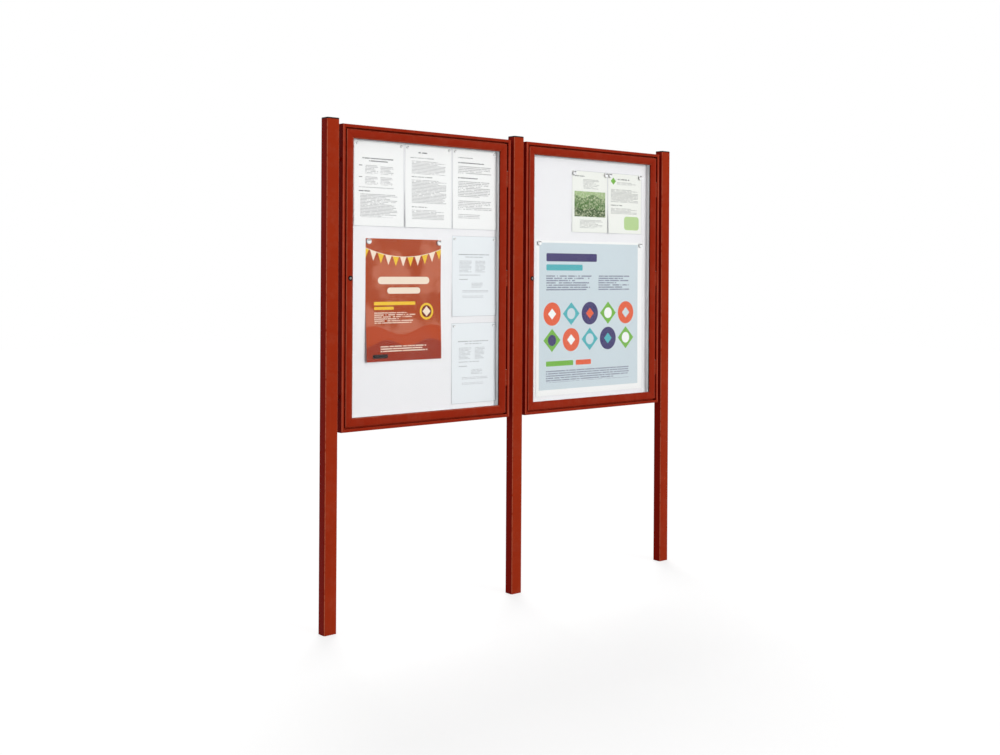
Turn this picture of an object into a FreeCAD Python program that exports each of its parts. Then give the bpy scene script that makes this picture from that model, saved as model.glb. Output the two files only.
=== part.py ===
import FreeCAD, Part
import math
import os
import re
import Sketcher

# Double lockable notice board: two glazed display cases hung between three posts that are set in the ground.
# Axes: +X along the row to the right, -Y towards the reader, +Z up. Origin: centre of the middle post's foot.
# Inside a case, x runs from its left side, y from its front face towards the back, and z from its underside.

SIZES = [
    ("post_width", 50, "post, along the row"),
    ("post_depth", 40, "post, front to back"),
    ("post_wall", 2, "post, wall of the tube"),
    ("post_radius", 6, "post, outer corner"),
    ("post_height", 1738, "post, foot to cut top"),
    ("cap_thickness", 5, "post cap, plate on top of the tube"),
    ("cap_bevel", 1.2, "post cap, top edge"),
    ("cap_plug_depth", 18, "post cap, plug inside the tube"),
    ("cap_wall", 2, "post cap, wall of the plug"),
    ("cap_clearance", 0.3, "post cap, plug to tube"),
    ("case_width", 750, "case, outside"),
    ("case_height", 1050, "case, outside"),
    ("case_depth", 35, "case, outside"),
    ("case_drop", 12, "case top below the posts' cut tops"),
    ("case_setback", 3, "case front behind the posts' fronts"),
    ("side_gap", 15, "between a post and a case"),
    ("housing_face", 11, "housing, front edge that shows round the door"),
    ("housing_wall", 1.6, "housing, wall of the extrusion"),
    ("housing_edge_radius", 1.5, "housing, front edges"),
    ("ledge_front", 18, "housing, front of the inner ledge behind the case front"),
    ("ledge_thickness", 2, "housing, inner ledge"),
    ("ledge_overhang", 13, "housing, inner ledge beyond the front edge"),
    ("slot_stop_height", 8, "housing, stop in front of the back panel"),
    ("rear_flange_thickness", 2.3, "housing, flange behind the back panel"),
    ("rear_flange_height", 14, "housing, flange behind the back panel"),
    ("slot_clearance", 0.2, "back panel, play in its slot"),
    ("panel_thickness", 1.5, "back panel"),
    ("panel_clearance", 0.4, "back panel, edge to housing wall"),
    ("lining_inset", 44, "inner lining, inner face from the case's sides and ends"),
    ("lining_thickness", 1, "inner lining"),
    ("lining_clearance", 1.2, "inner lining to closed door"),
    ("lining_flange", 10, "inner lining, foot on the back panel"),
    ("door_gap", 6, "groove between housing and door"),
    ("door_recess", 1, "door front behind the case front"),
    ("door_depth", 15, "door frame, front to back"),
    ("door_face", 30, "door frame, width that shows"),
    ("door_wall", 1.6, "door frame, wall of the extrusion"),
    ("door_bead_radius", 3, "door frame, outer front edge"),
    ("bevel_width", 7, "door frame, sloping inner border"),
    ("bevel_depth", 5, "door frame, fall of the sloping border"),
    ("glass_lip", 5, "door frame, lip in front of the pane"),
    ("pane_thickness", 4, "door pane"),
    ("pane_clearance", 0.8, "door pane, edge to frame"),
    ("gasket_width", 4, "glazing gasket, across"),
    ("gasket_thickness", 3, "glazing gasket, front to back"),
    ("gasket_bevel", 1, "glazing gasket, rear inner edge"),
    ("seal_width", 5, "door seal, across"),
    ("seal_inset", 1, "door seal, back from the ledge's tip"),
    ("seal_clearance", 0.3, "door seal to closed door"),
    ("seal_bevel", 0.6, "door seal, front edges"),
    ("cleat_length", 45, "corner cleats, each leg"),
    ("cleat_clearance", 0.2, "corner cleats to the chamber walls"),
    ("hinge_inset", 150, "outer hinges, centre from the case's ends"),
    ("hinge_length", 60, "hinge"),
    ("hinge_axis_depth", 3, "hinge axis behind the case front"),
    ("hinge_to_housing", 3.6, "hinge axis to the housing's inner face"),
    ("hinge_leaf_width", 10, "hinge leaf, front to back"),
    ("hinge_leaf_start", 2.5, "hinge leaf, behind the axis"),
    ("hinge_leaf_thickness", 1.2, "hinge leaf"),
    ("knuckle_radius", 2.1, "hinge knuckle"),
    ("knuckle_length", 20, "hinge knuckle, with half of each gap"),
    ("knuckle_gap", 0.4, "between hinge knuckles"),
    ("hinge_pin_radius", 1.2, "hinge pin"),
    ("hinge_pin_head_radius", 1.9, "hinge pin, head"),
    ("hinge_pin_head", 0.8, "hinge pin, head height"),
    ("running_clearance", 0.05, "radial play of pins, plugs and nuts"),
    ("bolt_radius", 2.5, "case bolt, shank"),
    ("bolt_head_radius", 4, "case bolt, head"),
    ("bolt_head_height", 3, "case bolt, head"),
    ("bolt_end", 1.5, "case bolt, past its nut"),
    ("bolt_inset", 120, "case bolts, from the case's ends"),
    ("bolt_depth", 24.5, "case bolts, behind the case front"),
    ("bolt_hole_clearance", 0.3, "case bolts, radial play in their holes"),
    ("spacer_radius", 6, "case spacer, outside"),
    ("post_nut_radius", 4.6, "nut in the post, centre to corner"),
    ("post_nut_height", 4, "nut in the post"),
    ("lock_from_edge", 16, "lock axis from the door's left edge"),
    ("lock_barrel_radius", 6, "lock barrel"),
    ("lock_head_radius", 9, "lock barrel, head on the door's front"),
    ("lock_head_height", 2.5, "lock barrel, head on the door's front"),
    ("lock_head_bevel", 1, "lock barrel, head edge"),
    ("lock_plug_radius", 4, "lock plug"),
    ("key_slot_width", 1.2, "key slot"),
    ("key_slot_length", 6, "key slot"),
    ("key_slot_depth", 8, "key slot"),
    ("lock_nut_radius", 8, "lock nut, centre to corner"),
    ("lock_nut_height", 3, "lock nut"),
    ("cam_clearance", 0.6, "lock cam, behind the ledge"),
    ("cam_thickness", 2, "lock cam"),
    ("cam_width", 11, "lock cam"),
    ("cam_reach", 20, "lock cam, axis to tip"),
    ("cam_tip_radius", 3, "lock cam, tip corners"),
    ("cam_square", 5, "lock cam, square hole on the plug"),
    ("cam_screw_radius", 3.5, "lock cam, screw head"),
    ("cam_screw_height", 1.6, "lock cam, screw head"),
    ("paper_thickness", 0.4, "sheets and posters"),
    ("paper_left", 64, "sheets in the left case, first column from the case's left side"),
    ("paper_right", 46, "sheets in the left case, last column from the case's right side"),
    ("paper_top", 47, "sheets in the left case, first row from the case top"),
    ("paper_bottom", 62, "sheets in the left case, last row from the case's underside"),
    ("paper_column_gap", 5, "sheets in the left case, between columns"),
    ("paper_row_gap", 25, "sheets in the left case, between rows"),
    ("small_poster_height", 431, "poster in the left case"),
    ("small_poster_left", 114, "poster in the left case, from the case's side"),
    ("small_poster_gap", 52, "poster in the left case, to the last column of sheets"),
    ("small_poster_top", 386, "poster in the left case, below the case top"),
    ("flyer_width", 200, "sheets in the right case"),
    ("flyer_height", 248, "sheets in the right case"),
    ("flyer_indent", 4, "sheets in the right case, last one in from the poster's right edge"),
    ("flyer_top", 92, "sheets in the right case, below the case top"),
    ("flyer_gap", 3, "sheets in the right case, between them"),
    ("large_poster_left", 81, "poster in the right case, from the case's left side"),
    ("large_poster_right", 74, "poster in the right case, from the case's right side"),
    ("large_poster_top", 376, "poster in the right case, below the case top"),
    ("large_poster_bottom", 64, "poster in the right case, above the case's underside"),
    ("small_magnet_radius", 4.5, "magnets on the left sheets"),
    ("small_magnet_height", 4, "magnets on the left sheets"),
    ("large_magnet_radius", 9.5, "magnets on the posters and the right sheets"),
    ("large_magnet_height", 8, "magnets on the posters and the right sheets"),
    ("magnet_bevel", 1, "magnets, front edge"),
    ("magnet_inset", 11, "magnets, from the sheet's edges"),
    ("cut_margin", 1, "how far a cutting shape runs past the solid"),
]

# Sizes that follow from the ones above.
FORMULAS = {
    "post_spacing": "case_width + 2 * side_gap + post_width",
    "case_front": "case_setback - post_depth / 2",
    "case_bottom": "post_height - case_drop - case_height",
    "ledge_back": "ledge_front + ledge_thickness",
    "ledge_reach": "housing_face + ledge_overhang",
    "panel_back": "case_depth - rear_flange_thickness - slot_clearance",
    "panel_front": "panel_back - panel_thickness",
    "slot_front": "panel_front - slot_clearance",
    "panel_edge": "housing_wall + panel_clearance",
    "paper_front": "panel_front - paper_thickness",
    "lining_front": "door_back + lining_clearance",
    "lining_depth": "panel_front - lining_front",
    "door_inset": "housing_face + door_gap",
    "door_width": "case_width - 2 * door_inset",
    "door_height": "case_height - 2 * door_inset",
    "door_back": "door_recess + door_depth",
    "tube_edge": "door_face - glass_lip",
    "flat_edge": "door_face - bevel_width",
    "bevel_slope": "bevel_depth / bevel_width",
    "lip_back": "bevel_depth + door_wall",
    "pane_edge": "tube_edge + pane_clearance",
    "pane_back": "lip_back + pane_thickness",
    "seal_edge": "ledge_reach - seal_inset - seal_width",
    "seal_front": "door_back + seal_clearance",
    "hinge_x": "case_width - housing_face - hinge_to_housing",
    "hinge_to_door": "door_gap - hinge_to_housing",
    "pin_hole_radius": "hinge_pin_radius + running_clearance",
    "bolt_hole_radius": "bolt_radius + bolt_hole_clearance",
    "lock_x": "door_inset + lock_from_edge",
    "lock_z": "case_height / 2",
    "barrel_length": "ledge_back + cam_clearance - door_recess - seal_clearance",
    "cam_front": "ledge_back + cam_clearance - door_recess",
    "cam_back": "cam_front + cam_thickness",
    "paper_width": "(case_width - paper_left - paper_right - 2 * paper_column_gap) / 3",
    "paper_height": "(case_height - paper_top - paper_bottom - 2 * paper_row_gap) / 3",
    "paper_column": "(paper_width + paper_column_gap)",
    "paper_row": "(paper_height + paper_row_gap)",
    "small_poster_width": "paper_left + 2 * paper_column - small_poster_gap - small_poster_left",
    "large_poster_width": "case_width - large_poster_left - large_poster_right",
    "large_poster_height": "case_height - large_poster_top - large_poster_bottom",
    "flyer_left": "case_width - large_poster_right - flyer_indent - 2 * flyer_width - flyer_gap",
}

CASES = {
    "left": "side_gap + post_width / 2 - post_spacing",
    "right": "side_gap + post_width / 2",
}

doc = FreeCAD.newDocument("NoticeBoard")
sheet = doc.addObject("Spreadsheet::Sheet", "Sizes")
size_names = {name for name, number, note in SIZES}
nodes = []


def fill_sheet():
    for row, (name, number, note) in enumerate(SIZES, 1):
        sheet.set("A%d" % row, name)
        sheet.set("B%d" % row, str(number))
        sheet.set("C%d" % row, note)
        sheet.setAlias("B%d" % row, name)
    doc.recompute()


def formula(text):
    """Turn plain size names into references to the sheet, following the derived sizes down."""
    def swap(match):
        name = match.group(0)
        if name in FORMULAS:
            return "(" + formula(FORMULAS[name]) + ")"
        if name in size_names:
            return "Sizes." + name
        return name
    return re.sub(r"[a-z_]+", swap, text)


def value(text):
    return float(sheet.evalExpression(formula(text)))


def bind(thing, prop, text):
    thing.setExpression(prop, formula(text))


def place(thing, x="0", y="0", z="0", axis=(0, 1, 0), turn=0):
    base = FreeCAD.Vector(value(x), value(y), value(z))
    thing.Placement = FreeCAD.Placement(base, FreeCAD.Rotation(FreeCAD.Vector(*axis), turn))
    for letter, text in zip("xyz", (x, y, z)):
        bind(thing, "Placement.Base." + letter, text)
    return thing


def place_in_case(side, thing, x="0", y="0", z="0", turn=0):
    return place(thing, "%s + %s" % (CASES[side], x), "case_front + " + y, "case_bottom + " + z, turn=turn)


def keep(thing, label):
    """Give the finished sub-part its name and put it on the list of pieces to write."""
    thing.Label = label
    nodes.append(thing)
    return thing


def new_body(name):
    return doc.addObject("PartDesign::Body", name)


def new_sketch(body, name, role, offset="0"):
    sketch = body.newObject("Sketcher::SketchObject", name)
    plane = [item for item in body.Origin.OriginFeatures if item.Role == role][0]
    sketch.AttachmentSupport = [(plane, "")]
    sketch.MapMode = "FlatFace"
    bind(sketch, "AttachmentOffset.Base.z", offset)
    return sketch


def arc_through(start, end, radius):
    """A short arc that bulges to the right of the way from start to end."""
    chord = end - start
    middle = (start + end) * 0.5
    sagitta = radius - math.sqrt(max(radius ** 2 - (chord.Length / 2) ** 2, 0))
    right = FreeCAD.Vector(chord.y, -chord.x, 0).normalize()
    return Part.Arc(start, middle + right * sagitta, end)


def outline(sketch, corners):
    """Closed outline, listed anticlockwise. A corner (x, y, radius) starts an arc of that radius."""
    points = [FreeCAD.Vector(value(corner[0]), value(corner[1]), 0) for corner in corners]
    first = sketch.GeometryCount
    count = len(corners)
    for index, corner in enumerate(corners):
        start, end = points[index], points[(index + 1) % count]
        if len(corner) == 3:
            sketch.addGeometry(arc_through(start, end, value(corner[2])), False)
        else:
            sketch.addGeometry(Part.LineSegment(start, end), False)
    for index in range(count):
        follower = first + (index + 1) % count
        sketch.addConstraint(Sketcher.Constraint("Coincident", first + index, 2, follower, 1))
    for index, corner in enumerate(corners):
        edge = first + index
        rules = [("DistanceX", (-1, 1, edge, 1), corner[0]), ("DistanceY", (-1, 1, edge, 1), corner[1])]
        if len(corner) == 3:
            rules.append(("Radius", (edge,), corner[2]))
        for kind, target, text in rules:
            number = sketch.addConstraint(Sketcher.Constraint(kind, *target, value(text)))
            sketch.setExpression("Constraints[%d]" % number, formula(text))


def rectangle(sketch, left, low, right, high):
    outline(sketch, [(left, low), (right, low), (right, high), (left, high)])


def rounded_rectangle(sketch, half_x, half_y, radius):
    """Rectangle about the sketch's origin with rounded corners."""
    far_x, far_y = "(%s)" % half_x, "(%s)" % half_y
    near_x, near_y = "(%s - (%s))" % (far_x, radius), "(%s - (%s))" % (far_y, radius)
    outline(sketch, [
        (near_x, "-" + far_y, radius), (far_x, "-" + near_y),
        (far_x, near_y, radius), (near_x, far_y),
        ("-" + near_x, far_y, radius), ("-" + far_x, near_y),
        ("-" + far_x, "-" + near_y, radius), ("-" + near_x, "-" + far_y),
    ])


def circle(sketch, x, y, radius):
    centre = FreeCAD.Vector(value(x), value(y), 0)
    index = sketch.addGeometry(Part.Circle(centre, FreeCAD.Vector(0, 0, 1), value(radius)), False)
    for kind, target, text in (("DistanceX", (-1, 1, index, 3), x), ("DistanceY", (-1, 1, index, 3), y),
                               ("Radius", (index,), radius)):
        number = sketch.addConstraint(Sketcher.Constraint(kind, *target, value(text)))
        sketch.setExpression("Constraints[%d]" % number, formula(text))


def hexagon(sketch, radius):
    corners = []
    for index in range(6):
        cosine, sine = math.cos(math.pi * index / 3), math.sin(math.pi * index / 3)
        corners.append(("(%s) * %.12f" % (radius, cosine), "(%s) * %.12f" % (radius, sine)))
    outline(sketch, corners)


def pad(body, sketch, length, backwards=False):
    feature = body.newObject("PartDesign::Pad", sketch.Name + "_pad")
    feature.Profile = sketch
    feature.Reversed = backwards
    bind(feature, "Length", length)
    return feature


def pocket(body, sketch, length=None, backwards=False):
    """Cut the sketch out of the body, right through it where no length is given."""
    doc.recompute()
    before = body.Shape.Volume
    feature = body.newObject("PartDesign::Pocket", sketch.Name + "_cut")
    feature.Profile = sketch
    feature.Reversed = backwards
    if length is None:
        feature.Type = "ThroughAll"
    else:
        bind(feature, "Length", length)
    doc.recompute()
    if not feature.Shape.Volume < before:
        raise RuntimeError("%s cuts nothing" % feature.Name)
    return feature


def revolve(body, sketch):
    feature = body.newObject("PartDesign::Revolution", sketch.Name + "_turned")
    feature.Profile = sketch
    feature.ReferenceAxis = (sketch, ["V_Axis"])
    feature.Angle = 360
    return feature


def bevel_edges(body, size, chosen):
    """Chamfer the edges of the body so far for which chosen(edge) is true."""
    doc.recompute()
    base = body.Tip
    names = ["Edge%d" % number for number, edge in enumerate(base.Shape.Edges, 1) if chosen(edge)]
    feature = body.newObject("PartDesign::Chamfer", body.Name + "_bevel")
    feature.Base = (base, names)
    bind(feature, "Size", size)
    return feature


def lies_at(edge, axis, where):
    """True when the whole edge lies in the plane where its x, y or z is the given value."""
    box = edge.BoundBox
    low, high = getattr(box, axis.upper() + "Min"), getattr(box, axis.upper() + "Max")
    return abs(low - where) < 0.001 and abs(high - where) < 0.001


def within(edge, margin):
    """True when the edge lies more than the margin inside the door frame's outer corner and sides."""
    box = edge.BoundBox
    return (min(box.XMin, box.ZMin) > margin + 0.001 and box.XMax < value("door_width") - margin - 0.001
            and box.ZMax < value("door_height") - margin - 0.001)


def copies(name, master, spots):
    """A group of separate copies of one piece; each spot is (x, y, z, axis, turn)."""
    links = []
    for index, (x, y, z, axis, turn) in enumerate(spots, 1):
        link = doc.addObject("App::Link", "%s_%d" % (name, index))
        link.LinkedObject = master
        links.append(place(link, x, y, z, axis, turn))
    group = doc.addObject("Part::Compound", name)
    group.Links = links
    return group


def frame_turns(width, height):
    """The four sides of a frame, anticlockwise from the bottom: start corner, turn about Y and length."""
    return [
        ("0", "0", 0, width),
        (width, "0", -90, height),
        (width, height, 180, width),
        ("0", height, 90, height),
    ]


def make_post(label, x, hole_sides):
    body = new_body(label)
    section = new_sketch(body, label + "_section", "XY_Plane")
    rounded_rectangle(section, "post_width / 2", "post_depth / 2", "post_radius")
    rounded_rectangle(section, "post_width / 2 - post_wall", "post_depth / 2 - post_wall",
                      "post_radius - post_wall")
    pad(body, section, "post_height")
    for side in hole_sides:
        holes = new_sketch(body, "%s_%s_holes" % (label, side), "YZ_Plane")
        for height in ("case_bottom + bolt_inset", "case_bottom + case_height - bolt_inset"):
            circle(holes, "case_front + bolt_depth", height, "bolt_hole_radius")
        pocket(body, holes, "post_width / 2 + cut_margin", backwards=(side == "right"))
    keep(place(body, x), label)


def make_post_cap(label, x):
    body = new_body(label)
    plate = new_sketch(body, label + "_plate", "XY_Plane")
    rounded_rectangle(plate, "post_width / 2", "post_depth / 2", "post_radius")
    pad(body, plate, "cap_thickness")
    top = value("cap_thickness")
    bevel_edges(body, "cap_bevel", lambda edge: lies_at(edge, "z", top))
    plug = new_sketch(body, label + "_plug", "XY_Plane")
    inset = "post_wall + cap_clearance"
    rounded_rectangle(plug, "post_width / 2 - (%s)" % inset, "post_depth / 2 - (%s)" % inset,
                      "post_radius - (%s)" % inset)
    inset += " + cap_wall"
    rectangle(plug, "%s - post_width / 2" % inset, "%s - post_depth / 2" % inset,
              "post_width / 2 - (%s)" % inset, "post_depth / 2 - (%s)" % inset)
    pad(body, plug, "cap_plug_depth", backwards=True)
    keep(place(body, x, "0", "post_height"), label)


def make_post_nuts():
    master = new_body("post_nut_master")
    section = new_sketch(master, "post_nut_section", "XY_Plane")
    hexagon(section, "post_nut_radius")
    circle(section, "0", "0", "bolt_radius + running_clearance")
    pad(master, section, "post_nut_height")
    inside = "post_width / 2 - post_wall"
    spots = []
    for height in ("case_bottom + bolt_inset", "case_bottom + case_height - bolt_inset"):
        for x, turn in (("%s - post_spacing" % inside, -90), ("-(%s)" % inside, 90),
                        (inside, -90), ("post_spacing - (%s)" % inside, 90)):
            spots.append((x, "case_front + bolt_depth", height, (0, 1, 0), turn))
    keep(copies("post_nuts", master, spots), "post_nuts")


def make_mitred_bar(name, sections, run, reach):
    """Length of extrusion along x with a 45 degree mitre at both ends; z runs into the frame."""
    body = new_body(name)
    section = new_sketch(body, name + "_section", "YZ_Plane")
    for corners in sections:
        outline(section, corners)
    pad(body, section, run)
    mitres = new_sketch(body, name + "_mitres", "XZ_Plane")
    far = "(%s + cut_margin)" % reach
    outline(mitres, [("-cut_margin", "-cut_margin"), (far, far), ("-cut_margin", far)])
    outline(mitres, [("%s + cut_margin" % run, "-cut_margin"), ("%s + cut_margin" % run, far),
                     ("%s - %s" % (run, far), far)])
    pocket(body, mitres)
    return body


HOUSING_OUTSIDE = [
    ("housing_edge_radius", "0"),
    ("case_depth", "0"),
    ("case_depth", "rear_flange_height"),
    ("panel_back + slot_clearance", "rear_flange_height"),
    ("panel_back + slot_clearance", "housing_wall"),
    ("slot_front", "housing_wall"),
    ("slot_front", "slot_stop_height"),
    ("slot_front - housing_wall", "slot_stop_height"),
    ("slot_front - housing_wall", "housing_wall"),
    ("ledge_back", "housing_wall"),
    ("ledge_back", "ledge_reach"),
    ("ledge_front", "ledge_reach"),
    ("ledge_front", "housing_face"),
    ("housing_edge_radius", "housing_face", "housing_edge_radius"),
    ("0", "housing_face - housing_edge_radius"),
    ("0", "housing_edge_radius", "housing_edge_radius"),
]

HOUSING_CHAMBER = [
    ("housing_wall", "housing_wall"),
    ("ledge_front", "housing_wall"),
    ("ledge_front", "housing_face - housing_wall"),
    ("housing_wall", "housing_face - housing_wall"),
]

DOOR_OUTSIDE = [
    ("door_bead_radius", "0"),
    ("door_depth", "0"),
    ("door_depth", "tube_edge"),
    ("lip_back", "tube_edge"),
    ("lip_back", "door_face"),
    ("bevel_depth", "door_face"),
    ("0", "flat_edge"),
    ("0", "door_bead_radius", "door_bead_radius"),
]

DOOR_CHAMBER = [
    ("door_wall", "door_wall"),
    ("door_depth - door_wall", "door_wall"),
    ("door_depth - door_wall", "tube_edge - door_wall"),
    ("(tube_edge - flat_edge) * bevel_slope + door_wall", "tube_edge - door_wall"),
    ("door_wall", "flat_edge - door_wall"),
]


def make_housing(side):
    names = ("bottom_rail", "right_side", "top_rail", "left_side")
    for name, (x, z, turn, run) in zip(names, frame_turns("case_width", "case_height")):
        label = "%s_housing_%s" % (side, name)
        bar = make_mitred_bar(label, (HOUSING_OUTSIDE, HOUSING_CHAMBER), run, "ledge_reach")
        if name.endswith("side"):
            holes = new_sketch(bar, label + "_holes", "XY_Plane")
            for along in ("bolt_inset", "case_height - bolt_inset"):
                circle(holes, along, "bolt_depth", "bolt_hole_radius")
            pocket(bar, holes, backwards=True)
        keep(place_in_case(side, bar, x, "0", z, turn), label)


def make_corner_cleats(label, side, inner, outer, front, back, width, height, inset):
    """Angle pieces in the four corners of a frame's chamber; inner and outer are the chamber's sides."""
    near, far = "(%s + cleat_clearance)" % outer, "(%s - cleat_clearance)" % inner
    master = new_body(label + "_master")
    shape = new_sketch(master, label + "_angle", "XZ_Plane", "-(%s + cleat_clearance)" % front)
    outline(shape, [(near, near), ("cleat_length", near), ("cleat_length", far),
                    (far, far), (far, "cleat_length"), (near, "cleat_length")])
    pad(master, shape, "%s - (%s) - 2 * cleat_clearance" % (back, front), backwards=True)
    spots = [(x, "0", z, (0, 1, 0), turn) for x, z, turn, run in frame_turns(width, height)]
    group = copies(label, master, spots)
    keep(place_in_case(side, group, inset, "door_recess" if inset != "0" else "0", inset), label)


def make_back_panel(side):
    label = side + "_back_panel"
    panel = doc.addObject("Part::Box", label)
    bind(panel, "Length", "case_width - 2 * panel_edge")
    bind(panel, "Width", "panel_thickness")
    bind(panel, "Height", "case_height - 2 * panel_edge")
    keep(place_in_case(side, panel, "panel_edge", "panel_front", "panel_edge"), label)


def make_ring(name, width, height, edge, across, thickness):
    """Flat rectangular ring: edge is the ring's outside behind the frame, across its width."""
    body = new_body(name)
    shape = new_sketch(body, name + "_shape", "XZ_Plane")
    for inset in ("(%s)" % edge, "(%s + %s)" % (edge, across)):
        rectangle(shape, inset, inset, "%s - %s" % (width, inset), "%s - %s" % (height, inset))
    pad(body, shape, thickness, backwards=True)
    return body


def make_door_seal(side):
    label = side + "_door_seal"
    ring = make_ring(label, "case_width", "case_height", "seal_edge", "seal_width", "ledge_front - seal_front")
    bevel_edges(ring, "seal_bevel", lambda edge: lies_at(edge, "y", 0))
    keep(place_in_case(side, ring, "0", "seal_front", "0"), label)


def make_lining(side):
    """White frame of L section that closes the space between door and back panel round the display area."""
    label = side + "_inner_lining"
    ring = make_ring(label, "case_width", "case_height", "lining_inset - lining_thickness", "lining_thickness",
                     "lining_depth")
    foot = new_sketch(ring, label + "_foot", "XZ_Plane", "-(lining_depth)")
    for inset in ("(lining_inset - lining_flange)", "(lining_inset - lining_thickness / 2)"):
        rectangle(foot, inset, inset, "case_width - %s" % inset, "case_height - %s" % inset)
    pad(ring, foot, "lining_thickness")
    keep(place_in_case(side, ring, "0", "lining_front", "0"), label)


def make_case_spacers(side):
    spacer = new_body(side + "_spacer_master")
    section = new_sketch(spacer, side + "_spacer_section", "XY_Plane")
    circle(section, "0", "0", "spacer_radius")
    circle(section, "0", "0", "bolt_hole_radius")
    pad(spacer, section, "side_gap")
    spots = []
    for height in ("bolt_inset", "case_height - bolt_inset"):
        spots.append(("0", "bolt_depth", height, (0, 1, 0), -90))
        spots.append(("case_width", "bolt_depth", height, (0, 1, 0), 90))
    label = side + "_case_spacers"
    keep(place_in_case(side, copies(label, spacer, spots)), label)


def make_case_bolts():
    """Bolts that run through the housings' sides and the spacers into the posts, four for each case."""
    bolt = new_body("bolt_master")
    half = new_sketch(bolt, "bolt_half", "XZ_Plane")
    tip = "-(housing_wall + side_gap + post_wall + post_nut_height + bolt_end)"
    outline(half, [("0", tip), ("bolt_radius", tip), ("bolt_radius", "0"), ("bolt_head_radius", "0"),
                   ("bolt_head_radius", "bolt_head_height"), ("0", "bolt_head_height")])
    revolve(bolt, half)
    spots = []
    for start in CASES.values():
        for height in ("case_bottom + bolt_inset", "case_bottom + case_height - bolt_inset"):
            spots.append((start + " + housing_wall", "case_front + bolt_depth", height, (0, 1, 0), 90))
            spots.append((start + " + case_width - housing_wall", "case_front + bolt_depth", height, (0, 1, 0), -90))
    keep(copies("case_bolts", bolt, spots), "case_bolts")


def make_hinge_leaf(name, knuckles, plate_x, web_x):
    """Leaf with its knuckles about the z axis; plate_x and web_x are the (left, right) of each."""
    body = new_body(name)
    plate = new_sketch(body, name + "_plate", "XY_Plane")
    rectangle(plate, plate_x[0], "hinge_leaf_start", plate_x[1], "hinge_leaf_start + hinge_leaf_width")
    pad(body, plate, "hinge_length")
    for number in knuckles:
        low = "knuckle_length * %d + knuckle_gap / 2" % number
        for part, draw in (("web", lambda sketch: rectangle(sketch, web_x[0], "0", web_x[1],
                                                            "hinge_leaf_start + hinge_leaf_thickness")),
                           ("knuckle", lambda sketch: circle(sketch, "0", "0", "knuckle_radius"))):
            sketch = new_sketch(body, "%s_%s_%d" % (name, part, number), "XY_Plane", low)
            draw(sketch)
            pad(body, sketch, "knuckle_length - knuckle_gap")
    bore = new_sketch(body, name + "_bore", "XY_Plane")
    circle(bore, "0", "0", "pin_hole_radius")
    pocket(body, bore, backwards=True)
    return body


def make_hinges(side):
    fixed = make_hinge_leaf(side + "_fixed_leaf_master", (0, 2),
                            ("hinge_to_housing - hinge_leaf_thickness", "hinge_to_housing"),
                            ("0", "hinge_to_housing"))
    moving = make_hinge_leaf(side + "_door_leaf_master", (1,),
                             ("-hinge_to_door", "hinge_leaf_thickness - hinge_to_door"),
                             ("-hinge_to_door", "0"))
    pin = new_body(side + "_hinge_pin_master")
    half = new_sketch(pin, side + "_hinge_pin_half", "XZ_Plane")
    outline(half, [("0", "0"), ("hinge_pin_radius", "0"), ("hinge_pin_radius", "hinge_length"),
                   ("hinge_pin_head_radius", "hinge_length"),
                   ("hinge_pin_head_radius", "hinge_length + hinge_pin_head"),
                   ("0", "hinge_length + hinge_pin_head")])
    revolve(pin, half)
    middles = ("hinge_inset", "case_height / 2", "case_height - hinge_inset")
    spots = [("hinge_x", "hinge_axis_depth", middle + " - hinge_length / 2", (0, 0, 1), 0) for middle in middles]
    for name, master in (("hinge_fixed_leaves", fixed), ("hinge_door_leaves", moving), ("hinge_pins", pin)):
        label = "%s_%s" % (side, name)
        keep(place_in_case(side, copies(label, master, spots)), label)


def make_door_frame(side):
    names = ("bottom_rail", "hinge_stile", "top_rail", "lock_stile")
    for name, (x, z, turn, run) in zip(names, frame_turns("door_width", "door_height")):
        label = "%s_door_%s" % (side, name)
        bar = make_mitred_bar(label, (DOOR_OUTSIDE, DOOR_CHAMBER), run, "door_face")
        if name == "lock_stile":
            hole = new_sketch(bar, label + "_lock_hole", "XZ_Plane")
            circle(hole, "door_height / 2", "lock_from_edge", "lock_barrel_radius + running_clearance")
            pocket(bar, hole)
        keep(place_in_case(side, bar, "door_inset + " + x, "door_recess", "door_inset + " + z, turn), label)


def make_glazing(side):
    label = side + "_door_pane"
    pane = doc.addObject("Part::Box", label)
    bind(pane, "Length", "door_width - 2 * pane_edge")
    bind(pane, "Width", "pane_thickness")
    bind(pane, "Height", "door_height - 2 * pane_edge")
    inset = "door_inset + pane_edge"
    keep(place_in_case(side, pane, inset, "door_recess + lip_back", inset), label)
    label = side + "_glazing_gasket"
    ring = make_ring(label, "door_width", "door_height", "tube_edge", "gasket_width", "gasket_thickness")
    back, outside = value("gasket_thickness"), value("tube_edge")
    bevel_edges(ring, "gasket_bevel", lambda edge: lies_at(edge, "y", back) and within(edge, outside))
    keep(place_in_case(side, ring, "door_inset", "door_recess + pane_back", "door_inset"), label)


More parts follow.
